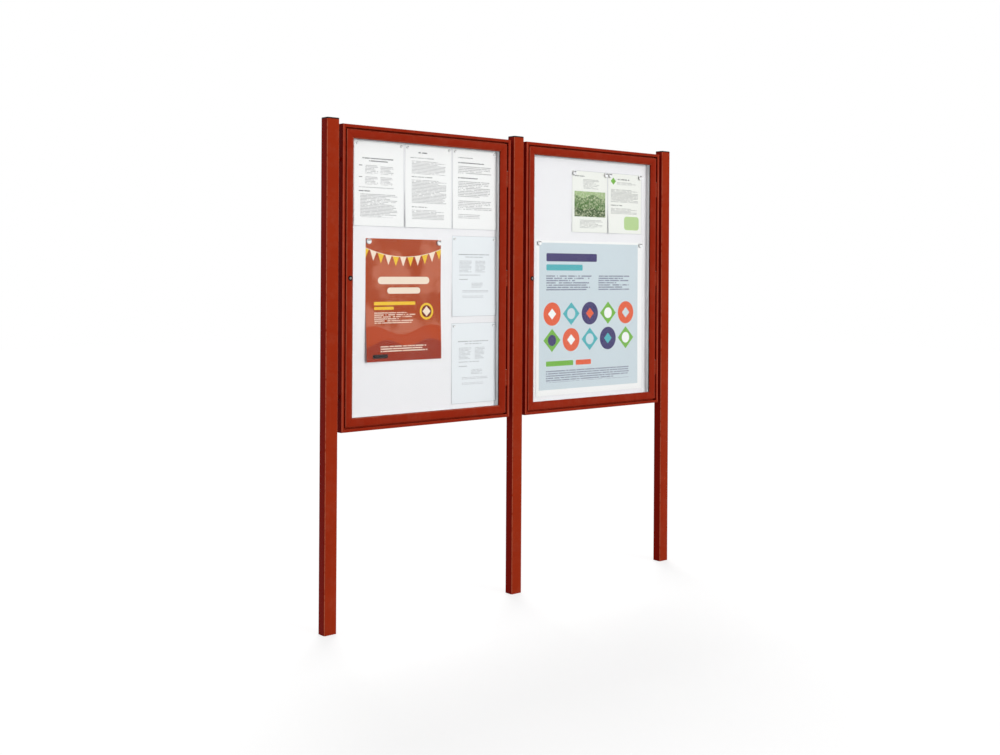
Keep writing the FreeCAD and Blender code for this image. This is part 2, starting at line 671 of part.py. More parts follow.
def make_lock(side):
    """Cam lock about the y axis through the lock stile, with y from the door's front face."""
    spot = ("lock_x", "door_recess", "lock_z")
    label = side + "_lock_barrel"
    barrel = new_body(label)
    half = new_sketch(barrel, label + "_half", "XY_Plane")
    bore = "lock_plug_radius + running_clearance"
    outline(half, [(bore, "-lock_head_height"),
                   ("lock_head_radius - lock_head_bevel", "-lock_head_height"),
                   ("lock_head_radius", "lock_head_bevel - lock_head_height"),
                   ("lock_head_radius", "0"), ("lock_barrel_radius", "0"),
                   ("lock_barrel_radius", "barrel_length"), (bore, "barrel_length")])
    revolve(barrel, half)
    keep(place_in_case(side, barrel, *spot), label)

    label = side + "_lock_nut"
    nut = new_body(label)
    section = new_sketch(nut, label + "_section", "XZ_Plane")
    hexagon(section, "lock_nut_radius")
    circle(section, "0", "0", "lock_barrel_radius + running_clearance")
    pad(nut, section, "lock_nut_height", backwards=True)
    keep(place_in_case(side, nut, "lock_x", "door_back", "lock_z"), label)

    label = side + "_lock_plug"
    plug = new_body(label)
    half = new_sketch(plug, label + "_half", "XY_Plane")
    outline(half, [("0", "-lock_head_height"), ("lock_plug_radius", "-lock_head_height"),
                   ("lock_plug_radius", "cam_front"), ("0", "cam_front")])
    revolve(plug, half)
    square = new_sketch(plug, label + "_square", "XZ_Plane", "-cam_front")
    side_half = "(cam_square / 2 - running_clearance)"
    rectangle(square, "-" + side_half, "-" + side_half, side_half, side_half)
    pad(plug, square, "cam_thickness", backwards=True)
    slot = new_sketch(plug, label + "_key_slot", "XZ_Plane", "lock_head_height")
    rectangle(slot, "-key_slot_width / 2", "-key_slot_length / 2", "key_slot_width / 2", "key_slot_length / 2")
    pocket(plug, slot, "key_slot_depth")
    keep(place_in_case(side, plug, *spot), label)

    label = side + "_lock_cam"
    cam = new_body(label + "_plate")
    shape = new_sketch(cam, label + "_shape", "XZ_Plane", "-cam_front")
    wide, tip = "cam_width / 2", "(cam_width / 2 - cam_tip_radius)"
    outline(shape, [("-" + wide, "0"), ("-" + wide, "cam_tip_radius - cam_reach", "cam_tip_radius"),
                    ("-" + tip, "-cam_reach"), (tip, "-cam_reach", "cam_tip_radius"),
                    (wide, "cam_tip_radius - cam_reach"), (wide, "0", "cam_width / 2 * 1.0000001"),
                    ("0", wide, "cam_width / 2 * 1.0000001")])
    rectangle(shape, "-cam_square / 2", "-cam_square / 2", "cam_square / 2", "cam_square / 2")
    pad(cam, shape, "cam_thickness", backwards=True)
    screw = new_body(label + "_screw")
    head = new_sketch(screw, label + "_screw_head", "XZ_Plane", "-cam_back")
    circle(head, "0", "0", "cam_screw_radius")
    pad(screw, head, "cam_screw_height", backwards=True)
    group = doc.addObject("Part::Compound", label)
    group.Links = [cam, screw]
    keep(place_in_case(side, group, *spot), label)


def make_sheets(side, width, height, spots):
    """Paper sheets on the back panel; each spot is the sheet's left and its top below the case top."""
    label = side + "_notice_sheets"
    sheets = []
    for number, (left, top) in enumerate(spots, 1):
        paper = doc.addObject("Part::Box", "%s_%d" % (label, number))
        bind(paper, "Length", width)
        bind(paper, "Width", "paper_thickness")
        bind(paper, "Height", height)
        sheets.append(place(paper, left, "paper_front", "case_height - (%s) - %s" % (top, height)))
    group = doc.addObject("Part::Compound", label)
    group.Links = sheets
    keep(place_in_case(side, group), label)


def make_poster(side, size):
    label = side + "_poster"
    paper = doc.addObject("Part::Box", label)
    bind(paper, "Length", size + "_poster_width")
    bind(paper, "Width", "paper_thickness")
    bind(paper, "Height", size + "_poster_height")
    keep(place_in_case(side, paper, size + "_poster_left", "paper_front",
                       "case_height - {0}_poster_top - {0}_poster_height".format(size)), label)


def make_magnet(name, radius, height):
    body = new_body(name)
    half = new_sketch(body, name + "_half", "XY_Plane")
    outline(half, [("0", "-" + height), (radius + " - magnet_bevel", "-" + height),
                   (radius, "magnet_bevel - " + height), (radius, "0"), ("0", "0")])
    revolve(body, half)
    return body


def make_magnets(side, sheets, posters):
    """A magnet near both top corners of every sheet; each item is (magnet, left, top, width)."""
    label = side + "_magnets"
    groups = []
    for kind, items in (("small", sheets), ("large", posters)):
        if not items:
            continue
        master = make_magnet("%s_%s_magnet" % (side, kind), kind + "_magnet_radius", kind + "_magnet_height")
        spots = []
        for left, top, width in items:
            for x in ("%s + magnet_inset" % left, "%s + %s - magnet_inset" % (left, width)):
                spots.append((x, "paper_front", "case_height - (%s) - magnet_inset" % top, (0, 1, 0), 0))
        groups.append(copies("%s_%s" % (label, kind), master, spots))
    group = doc.addObject("Part::Compound", label)
    group.Links = groups
    keep(place_in_case(side, group), label)


def make_left_papers():
    spots = []
    for across, down in ((0, 0), (1, 0), (2, 0), (2, 1), (2, 2)):
        spots.append(("paper_left + %d * paper_column" % across, "paper_top + %d * paper_row" % down))
    make_sheets("left", "paper_width", "paper_height", spots)
    make_poster("left", "small")
    make_magnets("left", [(left, top, "paper_width") for left, top in spots],
                 [("small_poster_left", "small_poster_top", "small_poster_width")])


def make_right_papers():
    spots = [("flyer_left", "flyer_top"), ("flyer_left + flyer_width + flyer_gap", "flyer_top")]
    make_sheets("right", "flyer_width", "flyer_height", spots)
    make_poster("right", "large")
    make_magnets("right", [], [(left, top, "flyer_width") for left, top in spots]
                 + [("large_poster_left", "large_poster_top", "large_poster_width")])


def make_case(side):
    make_housing(side)
    make_corner_cleats(side + "_housing_cleats", side, "housing_face - housing_wall", "housing_wall",
                       "housing_wall", "ledge_front", "case_width", "case_height", "0")
    make_back_panel(side)
    make_lining(side)
    make_door_seal(side)
    make_case_spacers(side)
    make_door_frame(side)
    make_corner_cleats(side + "_door_cleats", side, "flat_edge - door_wall", "door_wall",
                       "door_wall", "door_depth - door_wall", "door_width", "door_height", "door_inset")
    make_glazing(side)
    make_hinges(side)
    make_lock(side)


def check_document():
    for thing in doc.Objects:
        if "Invalid" in thing.State or "Error" in thing.State:
            raise RuntimeError("%s did not build: %s" % (thing.Name, thing.State))
    for node in nodes:
        shape = node.Shape
        if shape.isNull() or not shape.isValid() or not shape.Solids:
            raise RuntimeError("%s has no valid solid" % node.Label)


fill_sheet()
make_post("post_left", "-(post_spacing)", ("right",))
make_post("post_middle", "0", ("left", "right"))
make_post("post_right", "post_spacing", ("left",))
make_post_cap("post_cap_left", "-(post_spacing)")
make_post_cap("post_cap_middle", "0")
make_post_cap("post_cap_right", "post_spacing")
make_post_nuts()
make_case_bolts()
for case_side in CASES:
    make_case(case_side)
make_left_papers()
make_right_papers()
doc.recompute()
check_document()

os.makedirs("parts", exist_ok=True)
for node in nodes:
    node.Shape.exportStep("parts/%s.step" % node.Label)
print("%d pieces written" % len(nodes))
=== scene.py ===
import math

import bpy
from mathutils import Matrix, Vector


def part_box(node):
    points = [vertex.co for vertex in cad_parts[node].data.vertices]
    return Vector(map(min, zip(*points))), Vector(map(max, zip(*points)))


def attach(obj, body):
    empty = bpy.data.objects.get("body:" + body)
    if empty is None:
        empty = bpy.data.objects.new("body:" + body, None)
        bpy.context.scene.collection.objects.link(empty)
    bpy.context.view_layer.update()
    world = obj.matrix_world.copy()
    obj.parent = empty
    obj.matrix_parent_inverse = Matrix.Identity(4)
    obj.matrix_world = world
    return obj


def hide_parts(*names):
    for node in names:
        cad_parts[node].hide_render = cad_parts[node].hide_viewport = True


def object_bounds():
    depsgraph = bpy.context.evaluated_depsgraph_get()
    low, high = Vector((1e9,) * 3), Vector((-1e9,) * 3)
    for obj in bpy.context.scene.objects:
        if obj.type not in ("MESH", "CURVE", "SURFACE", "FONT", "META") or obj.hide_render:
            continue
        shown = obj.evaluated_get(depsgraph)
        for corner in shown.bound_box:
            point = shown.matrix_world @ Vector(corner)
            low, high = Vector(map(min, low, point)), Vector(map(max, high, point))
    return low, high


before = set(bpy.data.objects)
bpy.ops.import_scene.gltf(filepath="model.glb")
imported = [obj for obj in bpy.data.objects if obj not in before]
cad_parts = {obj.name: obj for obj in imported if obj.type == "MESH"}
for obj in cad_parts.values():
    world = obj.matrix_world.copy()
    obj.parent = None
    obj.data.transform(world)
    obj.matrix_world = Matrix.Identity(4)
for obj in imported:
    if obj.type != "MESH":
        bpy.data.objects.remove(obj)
cad_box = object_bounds()

bl_info = {
    "name": "Lockable Notice Board",
    "version": (1, 0, 0),
    "blender": (4, 5, 0),
    "location": "3D View > Sidebar > Notice Board",
    "description": "Finishes and printed contents of a double glazed notice board on three posts",
    "category": "Object",
}

MM = 0.001
SIDES = ("left", "right")
MERGED = 0.000001  # Corners of a mesh that are closer than this become one

# Sheets and posters: left edge and top edge in millimetres, from the case's left side and from its top.
SHEET_SIZE = {"left": (210, 297), "right": (200, 248)}
SHEET_PLACES = {
    "left": ((64, 47), (279, 47), (494, 47), (494, 369), (494, 691)),
    "right": ((269, 92), (472, 92)),
}
POSTER_SIZE = {"left": (328, 431), "right": (595, 610)}
POSTER_PLACE = {"left": (114, 386), "right": (81, 376)}

# How far the lower left and right corners lift, as shares of the curl.
SHEET_LIFTS = ((0.5, 0.8), (1.5, 0.5), (0.4, 0.9), (0.9, 0.6), (0.5, 1.0))
POSTER_LIFTS = {"left": (4.0, 2.4), "right": (0.5, 0.9)}

# Printed matter on the sheets, in millimetres from the sheet's top left corner:
# left, top, right and bottom of each block, its line pitch, and how dark it prints.
LAYOUTS = {
    "rota": (
        (34, 58, 172, 65, 7, 0.95), (62, 67, 146, 74, 7, 0.95), (20, 84, 37, 90, 6, 0.9),
        (46, 84, 100, 116, 5, 0.72), (110, 86, 166, 116, 5, 0.72), (20, 124, 37, 130, 6, 0.9),
        (46, 124, 100, 152, 5, 0.72), (110, 124, 162, 152, 5, 0.72), (20, 160, 176, 165, 5, 0.72),
        (20, 172, 72, 179, 7, 0.95), (26, 184, 182, 266, 5, 0.75),
    ),
    "minutes": (
        (58, 24, 112, 32, 8, 1.0), (24, 44, 160, 50, 6, 0.8), (30, 56, 182, 104, 5, 0.72),
        (30, 112, 150, 118, 6, 0.88), (30, 124, 186, 210, 5, 0.75), (30, 220, 120, 226, 6, 0.88),
        (30, 232, 176, 268, 5, 0.72),
    ),
    "letter": (
        (26, 30, 96, 36, 6, 0.8), (26, 48, 150, 55, 7, 0.95), (26, 62, 184, 92, 6, 0.75),
        (26, 104, 120, 111, 7, 0.95), (26, 118, 178, 178, 6, 0.75), (26, 190, 186, 226, 6, 0.72),
        (26, 240, 132, 258, 6, 0.68),
    ),
    "fixtures": (
        (30, 66, 176, 71, 5, 0.85), (62, 75, 146, 80, 5, 0.75), (34, 90, 92, 134, 5, 0.62),
        (110, 90, 158, 134, 5, 0.62), (34, 142, 134, 147, 5, 0.7), (34, 158, 74, 163, 5, 0.75),
        (92, 172, 146, 192, 5, 0.6), (48, 200, 172, 210, 5, 0.6), (48, 220, 150, 230, 5, 0.55),
    ),
    "outing": (
        (16, 18, 74, 25, 7, 0.9), (62, 32, 152, 72, 5, 0.7), (44, 196, 172, 230, 5, 0.68),
    ),
    "course": (
        (54, 20, 150, 28, 8, 0.95), (54, 34, 168, 46, 5, 0.72), (18, 64, 180, 118, 5, 0.75),
        (18, 128, 104, 135, 7, 0.9), (18, 142, 172, 166, 5, 0.72),
    ),
}
SHEET_LAYOUTS = {
    "left": ("rota", "minutes", "letter", "fixtures", "fixtures"),
    "right": ("outing", "course"),
}


def colour(red, green, blue):
    """Linear colour from the 0 to 255 values seen on a screen."""
    shares = (channel / 255 for channel in (red, green, blue))
    return tuple(share / 12.92 if share <= 0.04045 else ((share + 0.055) / 1.055) ** 2.4 for share in shares)


def number_setting(name, description, value, **kind):
    return bpy.props.FloatProperty(name=name, description=description, default=value, **kind)


def length_setting(name, description, value):
    return number_setting(name, description, value, unit="LENGTH")


def angle_setting(name, description, degrees):
    return number_setting(name, description, math.radians(degrees), subtype="ANGLE")


def vector_setting(name, description, value, **kind):
    return bpy.props.FloatVectorProperty(name=name, description=description, size=3, default=value, **kind)


def colour_setting(name, description, value):
    return vector_setting(name, description, value, subtype="COLOR", min=0, max=1)


class FinishSettings(bpy.types.PropertyGroup):
    coat: colour_setting("Powder coat", "Red-brown coat of the posts", colour(154, 48, 21))
    coat_deep: colour_setting("Powder coat, deep", "Coat in its darker clouds", colour(146, 41, 17))
    # Painted shade: the cases and doors take a darker copy of the post coat.
    case_coat: colour_setting("Case coat", "Redder coat of cases and doors", colour(146, 41, 20))
    case_coat_deep: colour_setting("Case coat, deep", "Case coat in its darker clouds", colour(138, 35, 16))
    # Painted highlight: a lighter coat on rounded edges and along the uprights' front edges.
    coat_edge: colour_setting("Powder coat, edges", "Coat where edges are polished by use", colour(206, 122, 94))
    # Painted shade: a darker, redder coat on faces that look sideways.
    coat_side: colour_setting("Powder coat, sides", "Coat on side faces, less bleached by the sun", colour(143, 17, 8))
    coat_streaks: colour_setting("Streaks", "Rain streaks on the coat", colour(176, 84, 62))
    coat_dust: colour_setting("Dust", "Film of dust on the coat", colour(178, 118, 96))
    coat_grain: length_setting("Coat grain", "Size of the coat's fine texture", 0.0012)
    coat_roughness: number_setting("Coat roughness", "Roughness of the coat", 0.34, subtype="FACTOR", min=0, max=1)
    joint: colour_setting("Mitre joint", "Hairline joints at the corners", colour(60, 10, 6))
    joint_width: length_setting("Mitre joint width", "Width of the hairline joints at the corners", 0.0007)
    cap: colour_setting("Post caps", "Brown-black plastic of the caps", (0.016, 0.006, 0.005))
    rubber: colour_setting("Rubber", "Seals and gaskets", (0.014, 0.013, 0.013))
    board: colour_setting("Back panel", "White enamel of the back panels", colour(240, 239, 241))
    pane: colour_setting("Pane", "Tint of the clear panes", (0.985, 0.99, 0.99))
    nickel: colour_setting("Nickel", "Lock plug", (0.42, 0.36, 0.36))
    dark_nickel: colour_setting("Dark nickel", "Lock barrel", (0.02, 0.014, 0.014))
    ferrite: colour_setting("Ferrite", "Cores and grips of the magnets", (0.035, 0.034, 0.034))
    zinc: colour_setting("Zinc", "Bolts, nuts, rivets and hinge pins", (0.56, 0.57, 0.58))
    bare: colour_setting("Bare aluminium", "Corner cleats", (0.62, 0.63, 0.65))


class PrintSettings(bpy.types.PropertyGroup):
    paper: colour_setting("Paper", "White paper", colour(249, 249, 248))
    thin_paper: colour_setting("Thin paper", "Bluish paper of the lower sheets", colour(238, 242, 245))
    soft_paper: colour_setting("Soft paper", "Warm paper of the sheets beside the large poster", colour(243, 244, 238))
    # Painted shade: a grey line round the edge of each sheet.
    paper_edge: colour_setting("Paper edge", "Outline of the sheets", colour(172, 174, 179))
    ink: colour_setting("Ink", "Grey-black print", colour(58, 58, 66))
    thickness: length_setting("Sheet thickness", "Thickness of sheets and posters", 0.0003)
    curl: length_setting("Curl", "How far the free lower corners lift", 0.0025)
    terracotta: colour_setting("Terracotta", "Ground of the left poster", colour(168, 64, 16))
    rust: colour_setting("Rust", "Blotches of the left poster", colour(190, 100, 70))
    brown: colour_setting("Brown", "Ring of the left poster", colour(116, 30, 18))
    cream: colour_setting("Cream", "Light shapes of the left poster", colour(246, 226, 206))
    yellow: colour_setting("Yellow", "Accents of the left poster", colour(240, 196, 52))
    mist: colour_setting("Mist", "Ground of the right poster", colour(208, 220, 226))
    navy: colour_setting("Navy", "Shapes of the right poster", colour(66, 58, 108))
    teal: colour_setting("Teal", "Shapes of the right poster", colour(84, 178, 186))
    green: colour_setting("Green", "Shapes of the right poster and sheets", colour(120, 182, 70))
    coral: colour_setting("Coral", "Shapes of the right poster", colour(230, 98, 62))
    meadow: colour_setting("Meadow", "Picture on a sheet", colour(78, 116, 54))


class FittingSettings(bpy.types.PropertyGroup):
    cap_plate: length_setting("Cap plate", "Thickness of a post cap above the tube", 0.005)
    cap_crown: length_setting("Cap crown", "Height over which a cap's top edge rolls over", 0.0014)
    cap_corner: length_setting("Cap corner", "Corner radius of a post cap", 0.006)
    cap_shoulder: length_setting("Cap shoulder", "From a cap's outside in to its plug", 0.0023)
    cap_wall: length_setting("Cap wall", "Wall of a cap's hollow plug", 0.002)
    small_magnet: length_setting("Small magnet", "Radius of the magnets on the left sheets", 0.0045)
    small_magnet_height: length_setting("Small magnet height", "How far they stand out", 0.004)
    large_magnet: length_setting("Large magnet", "Radius of the other magnets", 0.0095)
    large_magnet_height: length_setting("Large magnet height", "How far they stand out", 0.008)
    paper_room: length_setting("Paper room", "Between a magnet and the back panel", 0.0004)
    magnet_inset: length_setting("Magnet inset", "From a sheet's edges", 0.011)
    magnet_plastic: colour_setting("Magnet plastic", "White magnets", colour(236, 236, 236))
    thread_pitch: length_setting("Thread pitch", "Thread on the lock barrel", 0.001)
    crown_rise: length_setting("Crown rise", "How far a door frame's face stands out at its crown", 0.0008)
    crown_fall: length_setting("Crown fall", "How far that face falls back at its sloping border", 0.0012)
    crown_start: length_setting("Crown start", "Outer end of the crown, from the door's edge", 0.003)
    crown_ridge: length_setting("Crown ridge", "Highest line of the crown, from the door's edge", 0.009)
    crown_end: length_setting("Crown end", "Inner end of the crown, from the door's edge", 0.023)
    rivet: length_setting("Rivet", "Radius of the rivet heads", 0.003)
    rivet_height: length_setting("Rivet height", "Height of the rivet heads", 0.0009)


class StageSettings(bpy.types.PropertyGroup):
    camera: vector_setting("Camera", "Place of the camera", (-3.007, -3.466, 1.229), unit="LENGTH")
    heading: angle_setting("Heading", "Camera's turn from straight ahead to the right", 40.22)
    roll: angle_setting("Roll", "Camera's roll, anticlockwise from behind", 0.347)
    lens: number_setting("Lens", "Focal length on a 36 mm wide frame", 43.2, unit="CAMERA")
    shift: number_setting("Shift", "Rise of the frame, in frame widths", -0.1066)
    sky: number_setting("Sky", "Strength of the light from all round", 0.60)
    key: number_setting("Key lamp", "Strength of the broad lamp at the front right", 1.94)
    key_from: vector_setting("Key from", "Direction that the key lamp shines from", (0.22, -1.0, 0.12),
                             subtype="DIRECTION")
    rim: number_setting("Rim lamp", "Strength of the lamp above and behind", 1.6)
    rim_from: vector_setting("Rim from", "Direction that the rim lamp shines from", (0.5, 0.7, 0.8),
                             subtype="DIRECTION")
    spread: angle_setting("Spread", "Width of both lamps as the board sees them", 26)
    glow: number_setting("Floor glow", "How brightly the pale floor shows, besides the light on it", 0.72)


class BoardSettings(bpy.types.PropertyGroup):
    finish: bpy.props.PointerProperty(type=FinishSettings, name="Finish", description="Colours and coats")
    prints: bpy.props.PointerProperty(type=PrintSettings, name="Prints", description="Sheets and posters")
    fittings: bpy.props.PointerProperty(type=FittingSettings, name="Fittings", description="Magnets, lock, rivets")
    stage: bpy.props.PointerProperty(type=StageSettings, name="Stage", description="Camera and light")


def settings():
    return bpy.context.scene.notice_board


# Shader helpers

class Wire:
    """What a shader node puts out. Sums with it add Math nodes; a comparison gives 1 where it holds, else 0."""

    def __init__(self, node, key=0):
        self.node = node
        self.socket = node.outputs[key]

    def __add__(self, other):
        return calc("ADD", self, other)

    def __sub__(self, other):
        return calc("SUBTRACT", self, other)

    def __rsub__(self, other):
        return calc("SUBTRACT", other, self)

    def __mul__(self, other):
        return calc("MULTIPLY", self, other)

    def __truediv__(self, other):
        return calc("DIVIDE", self, other)

    def __rtruediv__(self, other):
        return calc("DIVIDE", other, self)

    def __pow__(self, other):
        return calc("POWER", self, other)

    def __abs__(self):
        return calc("ABSOLUTE", self)

    def __lt__(self, other):
        return calc("LESS_THAN", self, other)

    def __gt__(self, other):
        return calc("GREATER_THAN", self, other)


def feed(node, inputs):
    """Feed a node's inputs, by name or in their order, with values or with wires."""
    for key, source in inputs.items() if isinstance(inputs, dict) else enumerate(inputs):
        if isinstance(source, Wire):
            node.id_data.links.new(source.socket, node.inputs[key])
        else:
            node.inputs[key].default_value = source


def add(kind, inputs=(), tree=None, **options):
    """Add a shader node, set its options and feed it; it joins the tree of its first wire, if none is given."""
    if tree is None:
        sources = inputs.values() if isinstance(inputs, dict) else inputs
        tree = next(source.node.id_data for source in sources if isinstance(source, Wire))
    node = tree.nodes.new("ShaderNode" + kind)
    for name, option in options.items():
        setattr(node, name, option)
    feed(node, inputs)
    return node


def calc(operation, *values):
    return Wire(add("Math", values, operation=operation))


def ramp(value, low, high, start=0, end=1):
    """Turn a value that runs from low to high into one from start to end."""
    return Wire(add("MapRange", (value, low, high, start, end)))


def noise(where, scale, detail, roughness=0.55):
    inputs = {"Vector": where, "Scale": scale, "Detail": detail, "Roughness": roughness}
    return Wire(add("TexNoise", inputs), "Fac")


def parts(vector):
    """The x, y and z of a place or a direction."""
    node = add("SeparateXYZ", (vector,))
    return [Wire(node, key) for key in range(3)]


def combine(x, y, z):
    return Wire(add("CombineXYZ", (x, y, z)))


def centred_on(place, middle):
    return Wire(add("Mapping", {"Vector": place, "Location": [-part for part in middle]}))


def rgba(tint):
    return tint if isinstance(tint, Wire) else (*tint, 1)


def layer(mask, below, above):
    """Lay one colour over another where the mask is 1."""
    return Wire(add("Mix", {0: mask, 6: rgba(below), 7: rgba(above)}, data_type="RGBA"), 2)


def bump(height, distance, strength):
    return Wire(add("Bump", {"Strength": strength, "Distance": distance, "Height": height}))


def new_material(name):
    """Empty material; returns it, its shader and the place on the object."""
    material = bpy.data.materials.new(name)
    material.use_nodes = True
    tree = material.node_tree
    return material, tree.nodes["Principled BSDF"], Wire(add("TexCoord", tree=tree), "Object")


def surface(shader):
    """Make a shader the one that its material shows."""
    feed(shader.id_data.nodes["Material Output"], {"Surface": Wire(shader)})


def seen(tree):
    """1 for what the camera sees, straight on, in a reflection or through a pane."""
    path = add("LightPath", tree=tree)
    camera, glossy, through = (Wire(path, "Is %s Ray" % kind) for kind in ("Camera", "Glossy", "Transmission"))
    return calc("MAXIMUM", calc("MAXIMUM", camera, glossy), through)


def group(*outputs, **inputs):
    """Make a function a shader group: its arguments are the group's inputs, what it returns is put out.

    An input with no default is a place or a direction.
    """
    def keep(work):
        name = work.__name__.title()

        def build():
            tree = bpy.data.node_groups.new(name, "ShaderNodeTree")
            for label, default in inputs.items():
                kind = "NodeSocketVector" if default is None else "NodeSocketFloat"
                socket = tree.interface.new_socket(label.replace("_", " "), in_out="INPUT", socket_type=kind)
                if default is not None:
                    socket.default_value = default
            for label in outputs:
                tree.interface.new_socket(label, in_out="OUTPUT", socket_type="NodeSocketFloat")
            entry = tree.nodes.new("NodeGroupInput")
            results = work(*(Wire(entry, key) for key in range(len(inputs))))
            feed(tree.nodes.new("NodeGroupOutput"), results)
            return tree

        def use(*sources):
            node = add("Group", sources, node_tree=bpy.data.node_groups.get(name) or build())
            return [Wire(node, key) for key in range(len(outputs))]
        return use
    return keep


@group("Height", "Tone", Place=None, Size=0.001)
def grain(place, size):
    """Fine moulded or sprayed texture: a height for bump and a tone for colour."""
    scale = 1 / size
    fine = noise(place, scale, 2)
    coarse = noise(place, scale * 0.3, 2)
    cloud = noise(place, 9, 4, 0.6)
    return fine * 0.65 + coarse * 0.35, ramp(cloud * 0.75 + fine * 0.25, 0, 1, -0.6, 1.6)


@group("Streaks", "Dust", Place=None)
def weather(place):
    """Rain streaks that run down, and a soft film of dust."""
    drawn = Wire(add("Mapping", {"Vector": place, "Scale": (1, 1, 0.03)}))
    broken = noise(drawn, 130, 3, 0.6) * noise(place, 3.5, 2)
    return ramp(broken, 0.26, 0.5), ramp(noise(place, 28, 6, 0.7), 0.48, 0.75)


@group("Joint", "Worn", Place=None, Half_width=0.3, Half_height=0.5, Line=0.0004, Half_depth=0.0175,
       Lip=0.003, Bead=0.0185)
def mitre(place, half_width, half_height, line, half_depth, lip, bead):
    """Hairline where two bars meet at 45 degrees, and bands of painted highlight along the uprights' front edges.

    The frame is centred on the origin; lip and bead are the distances of the highlighted edges from its outside.
    """
    across, deep, up = parts(place)
    from_side, from_end = half_width - abs(across), half_height - abs(up)
    bands = [ramp(abs(from_side - worn), reach, reach * 0.3) for worn, reach in ((lip, 0.003), (bead, 0.0022))]
    upright = (deep < 0.003 - half_depth) * (from_side < from_end)
    highlight_breakup = ramp(noise(place, 14, 5), 0.3, 0.6, 0.35)
    return abs(from_side - from_end) < line, calc("MAXIMUM", *bands) * upright * highlight_breakup


@group("Mask", "Side", Facing=None, Place=None, Start=0.92, Full=0.78)
def edge(facing, place, start, full):
    """Painted highlight mask on rounded edges, where the surface faces halfway between two sides, and painted shade
    mask on faces that look sideways.
    """
    x, y, z = (abs(part) for part in parts(facing))
    rounded = ramp(calc("MAXIMUM", calc("MAXIMUM", x, y), z), start, full)
    return rounded * ramp(noise(place, 60, 4), 0.3, 0.5), ramp(y, 0.6, 0.3)


@group("Mask", Across=0, Down=0, Left=0, Top=0, Right=0.1, Bottom=0.1, Radius=0)
def bar(across, down, left, top, right, bottom, radius):
    """Printed rectangle with rounded corners."""
    wide, tall = (calc("MAXIMUM", abs(place - (low + high) * 0.5) - (high - low) * 0.5 + radius, 0)
                  for place, low, high in ((across, left, right), (down, top, bottom)))
    return [calc("SQRT", wide ** 2 + tall ** 2) < calc("MAXIMUM", radius, 0.00001)]


@group("Mask", Across=0, Down=0, Middle=0.1, Depth=0.1, Radius=0.02, Pinch=0)
def disc(across, down, middle, depth, radius, pinch):
    """Printed disc; with a pinch of 1 it becomes a diamond."""
    wide, tall = abs(across - middle), abs(down - depth)
    return [Wire(add("Mix", {0: pinch, 2: calc("SQRT", wide ** 2 + tall ** 2), 3: wide + tall})) < radius]


@group("Mask", Across=0, Down=0, Line=0.3, Rise=0.02, Length=0.2, Shift=0)
def hills(across, down, line, rise, length, shift):
    """Everything below a rolling line."""
    wave = calc("SINE", (across + shift) / length * (2 * math.pi))
    return [down > line - wave * rise]


@group("Mask", "Line", Across=0, Down=0, Top=0.05, Pitch=0.04, Drop=0.03, Slack=0.02, Span=0.3, Shift=0)
def flags(across, down, top, pitch, drop, slack, span, shift):
    """Row of pennants that hang from a slack line."""
    share = across / span
    below = (down - (top + share * (1 - share) * 4 * slack)) / drop
    step = calc("FRACT", (across + shift) / pitch)
    inside = (abs(step * 2 - 1) < (1 - below) * 0.42) * (below > 0)
    return inside, abs(below + 0.02) < 0.03


@group("Mask", Across=0, Down=0, Left=0, Top=0, Right=0.1, Bottom=0.1, Pitch=0.005, Ink=0.6, Seed=0)
def lines(across, down, left, top, right, bottom, pitch, ink, seed):
    """Block of print seen from too far to read: ragged lines of broken strokes."""
    rows = (down - top) / pitch
    row, height = calc("FLOOR", rows) + seed, calc("FRACT", rows)
    chance = Wire(add("TexWhiteNoise", {"W": row}, noise_dimensions="1D"), "Value")
    end = right - (right - left) * (chance ** 4 * 0.5)
    steps = across / pitch
    words = noise(combine(steps, row * 5.37, 0), 1.1, 0)
    strokes = noise(combine(steps * 6, row * 3.1, height * 2.5), 1, 1)
    for test in (across > left, across < end, down > top, down < bottom, abs(height - 0.45) < 0.27,
                 words > 0.33, strokes > 0.36):
        ink = ink * test
    return [ink]


@group("Height", "Tone", Place=None, Pitch=0.0003)
def rings(place, pitch):
    """Turning marks round an axis along y."""
    across, deep, up = parts(place)
    marks = combine(calc("SQRT", across ** 2 + up ** 2) / pitch, deep * 2000, 0)
    return noise(marks, 1, 2), ramp(noise(place, 300, 3), 0, 1)


# Materials

def dress(shader, tint, grained, rough, relief, gloss):
    """Feed a shader its colour and gloss, and from a grain a roughness between two ends and a relief."""
    height, tone = grained
    feed(shader, {"Base Color": tint, "Roughness": ramp(tone, 0, 1, *rough), "Normal": bump(height, *relief),
                  "Specular IOR Level": gloss})


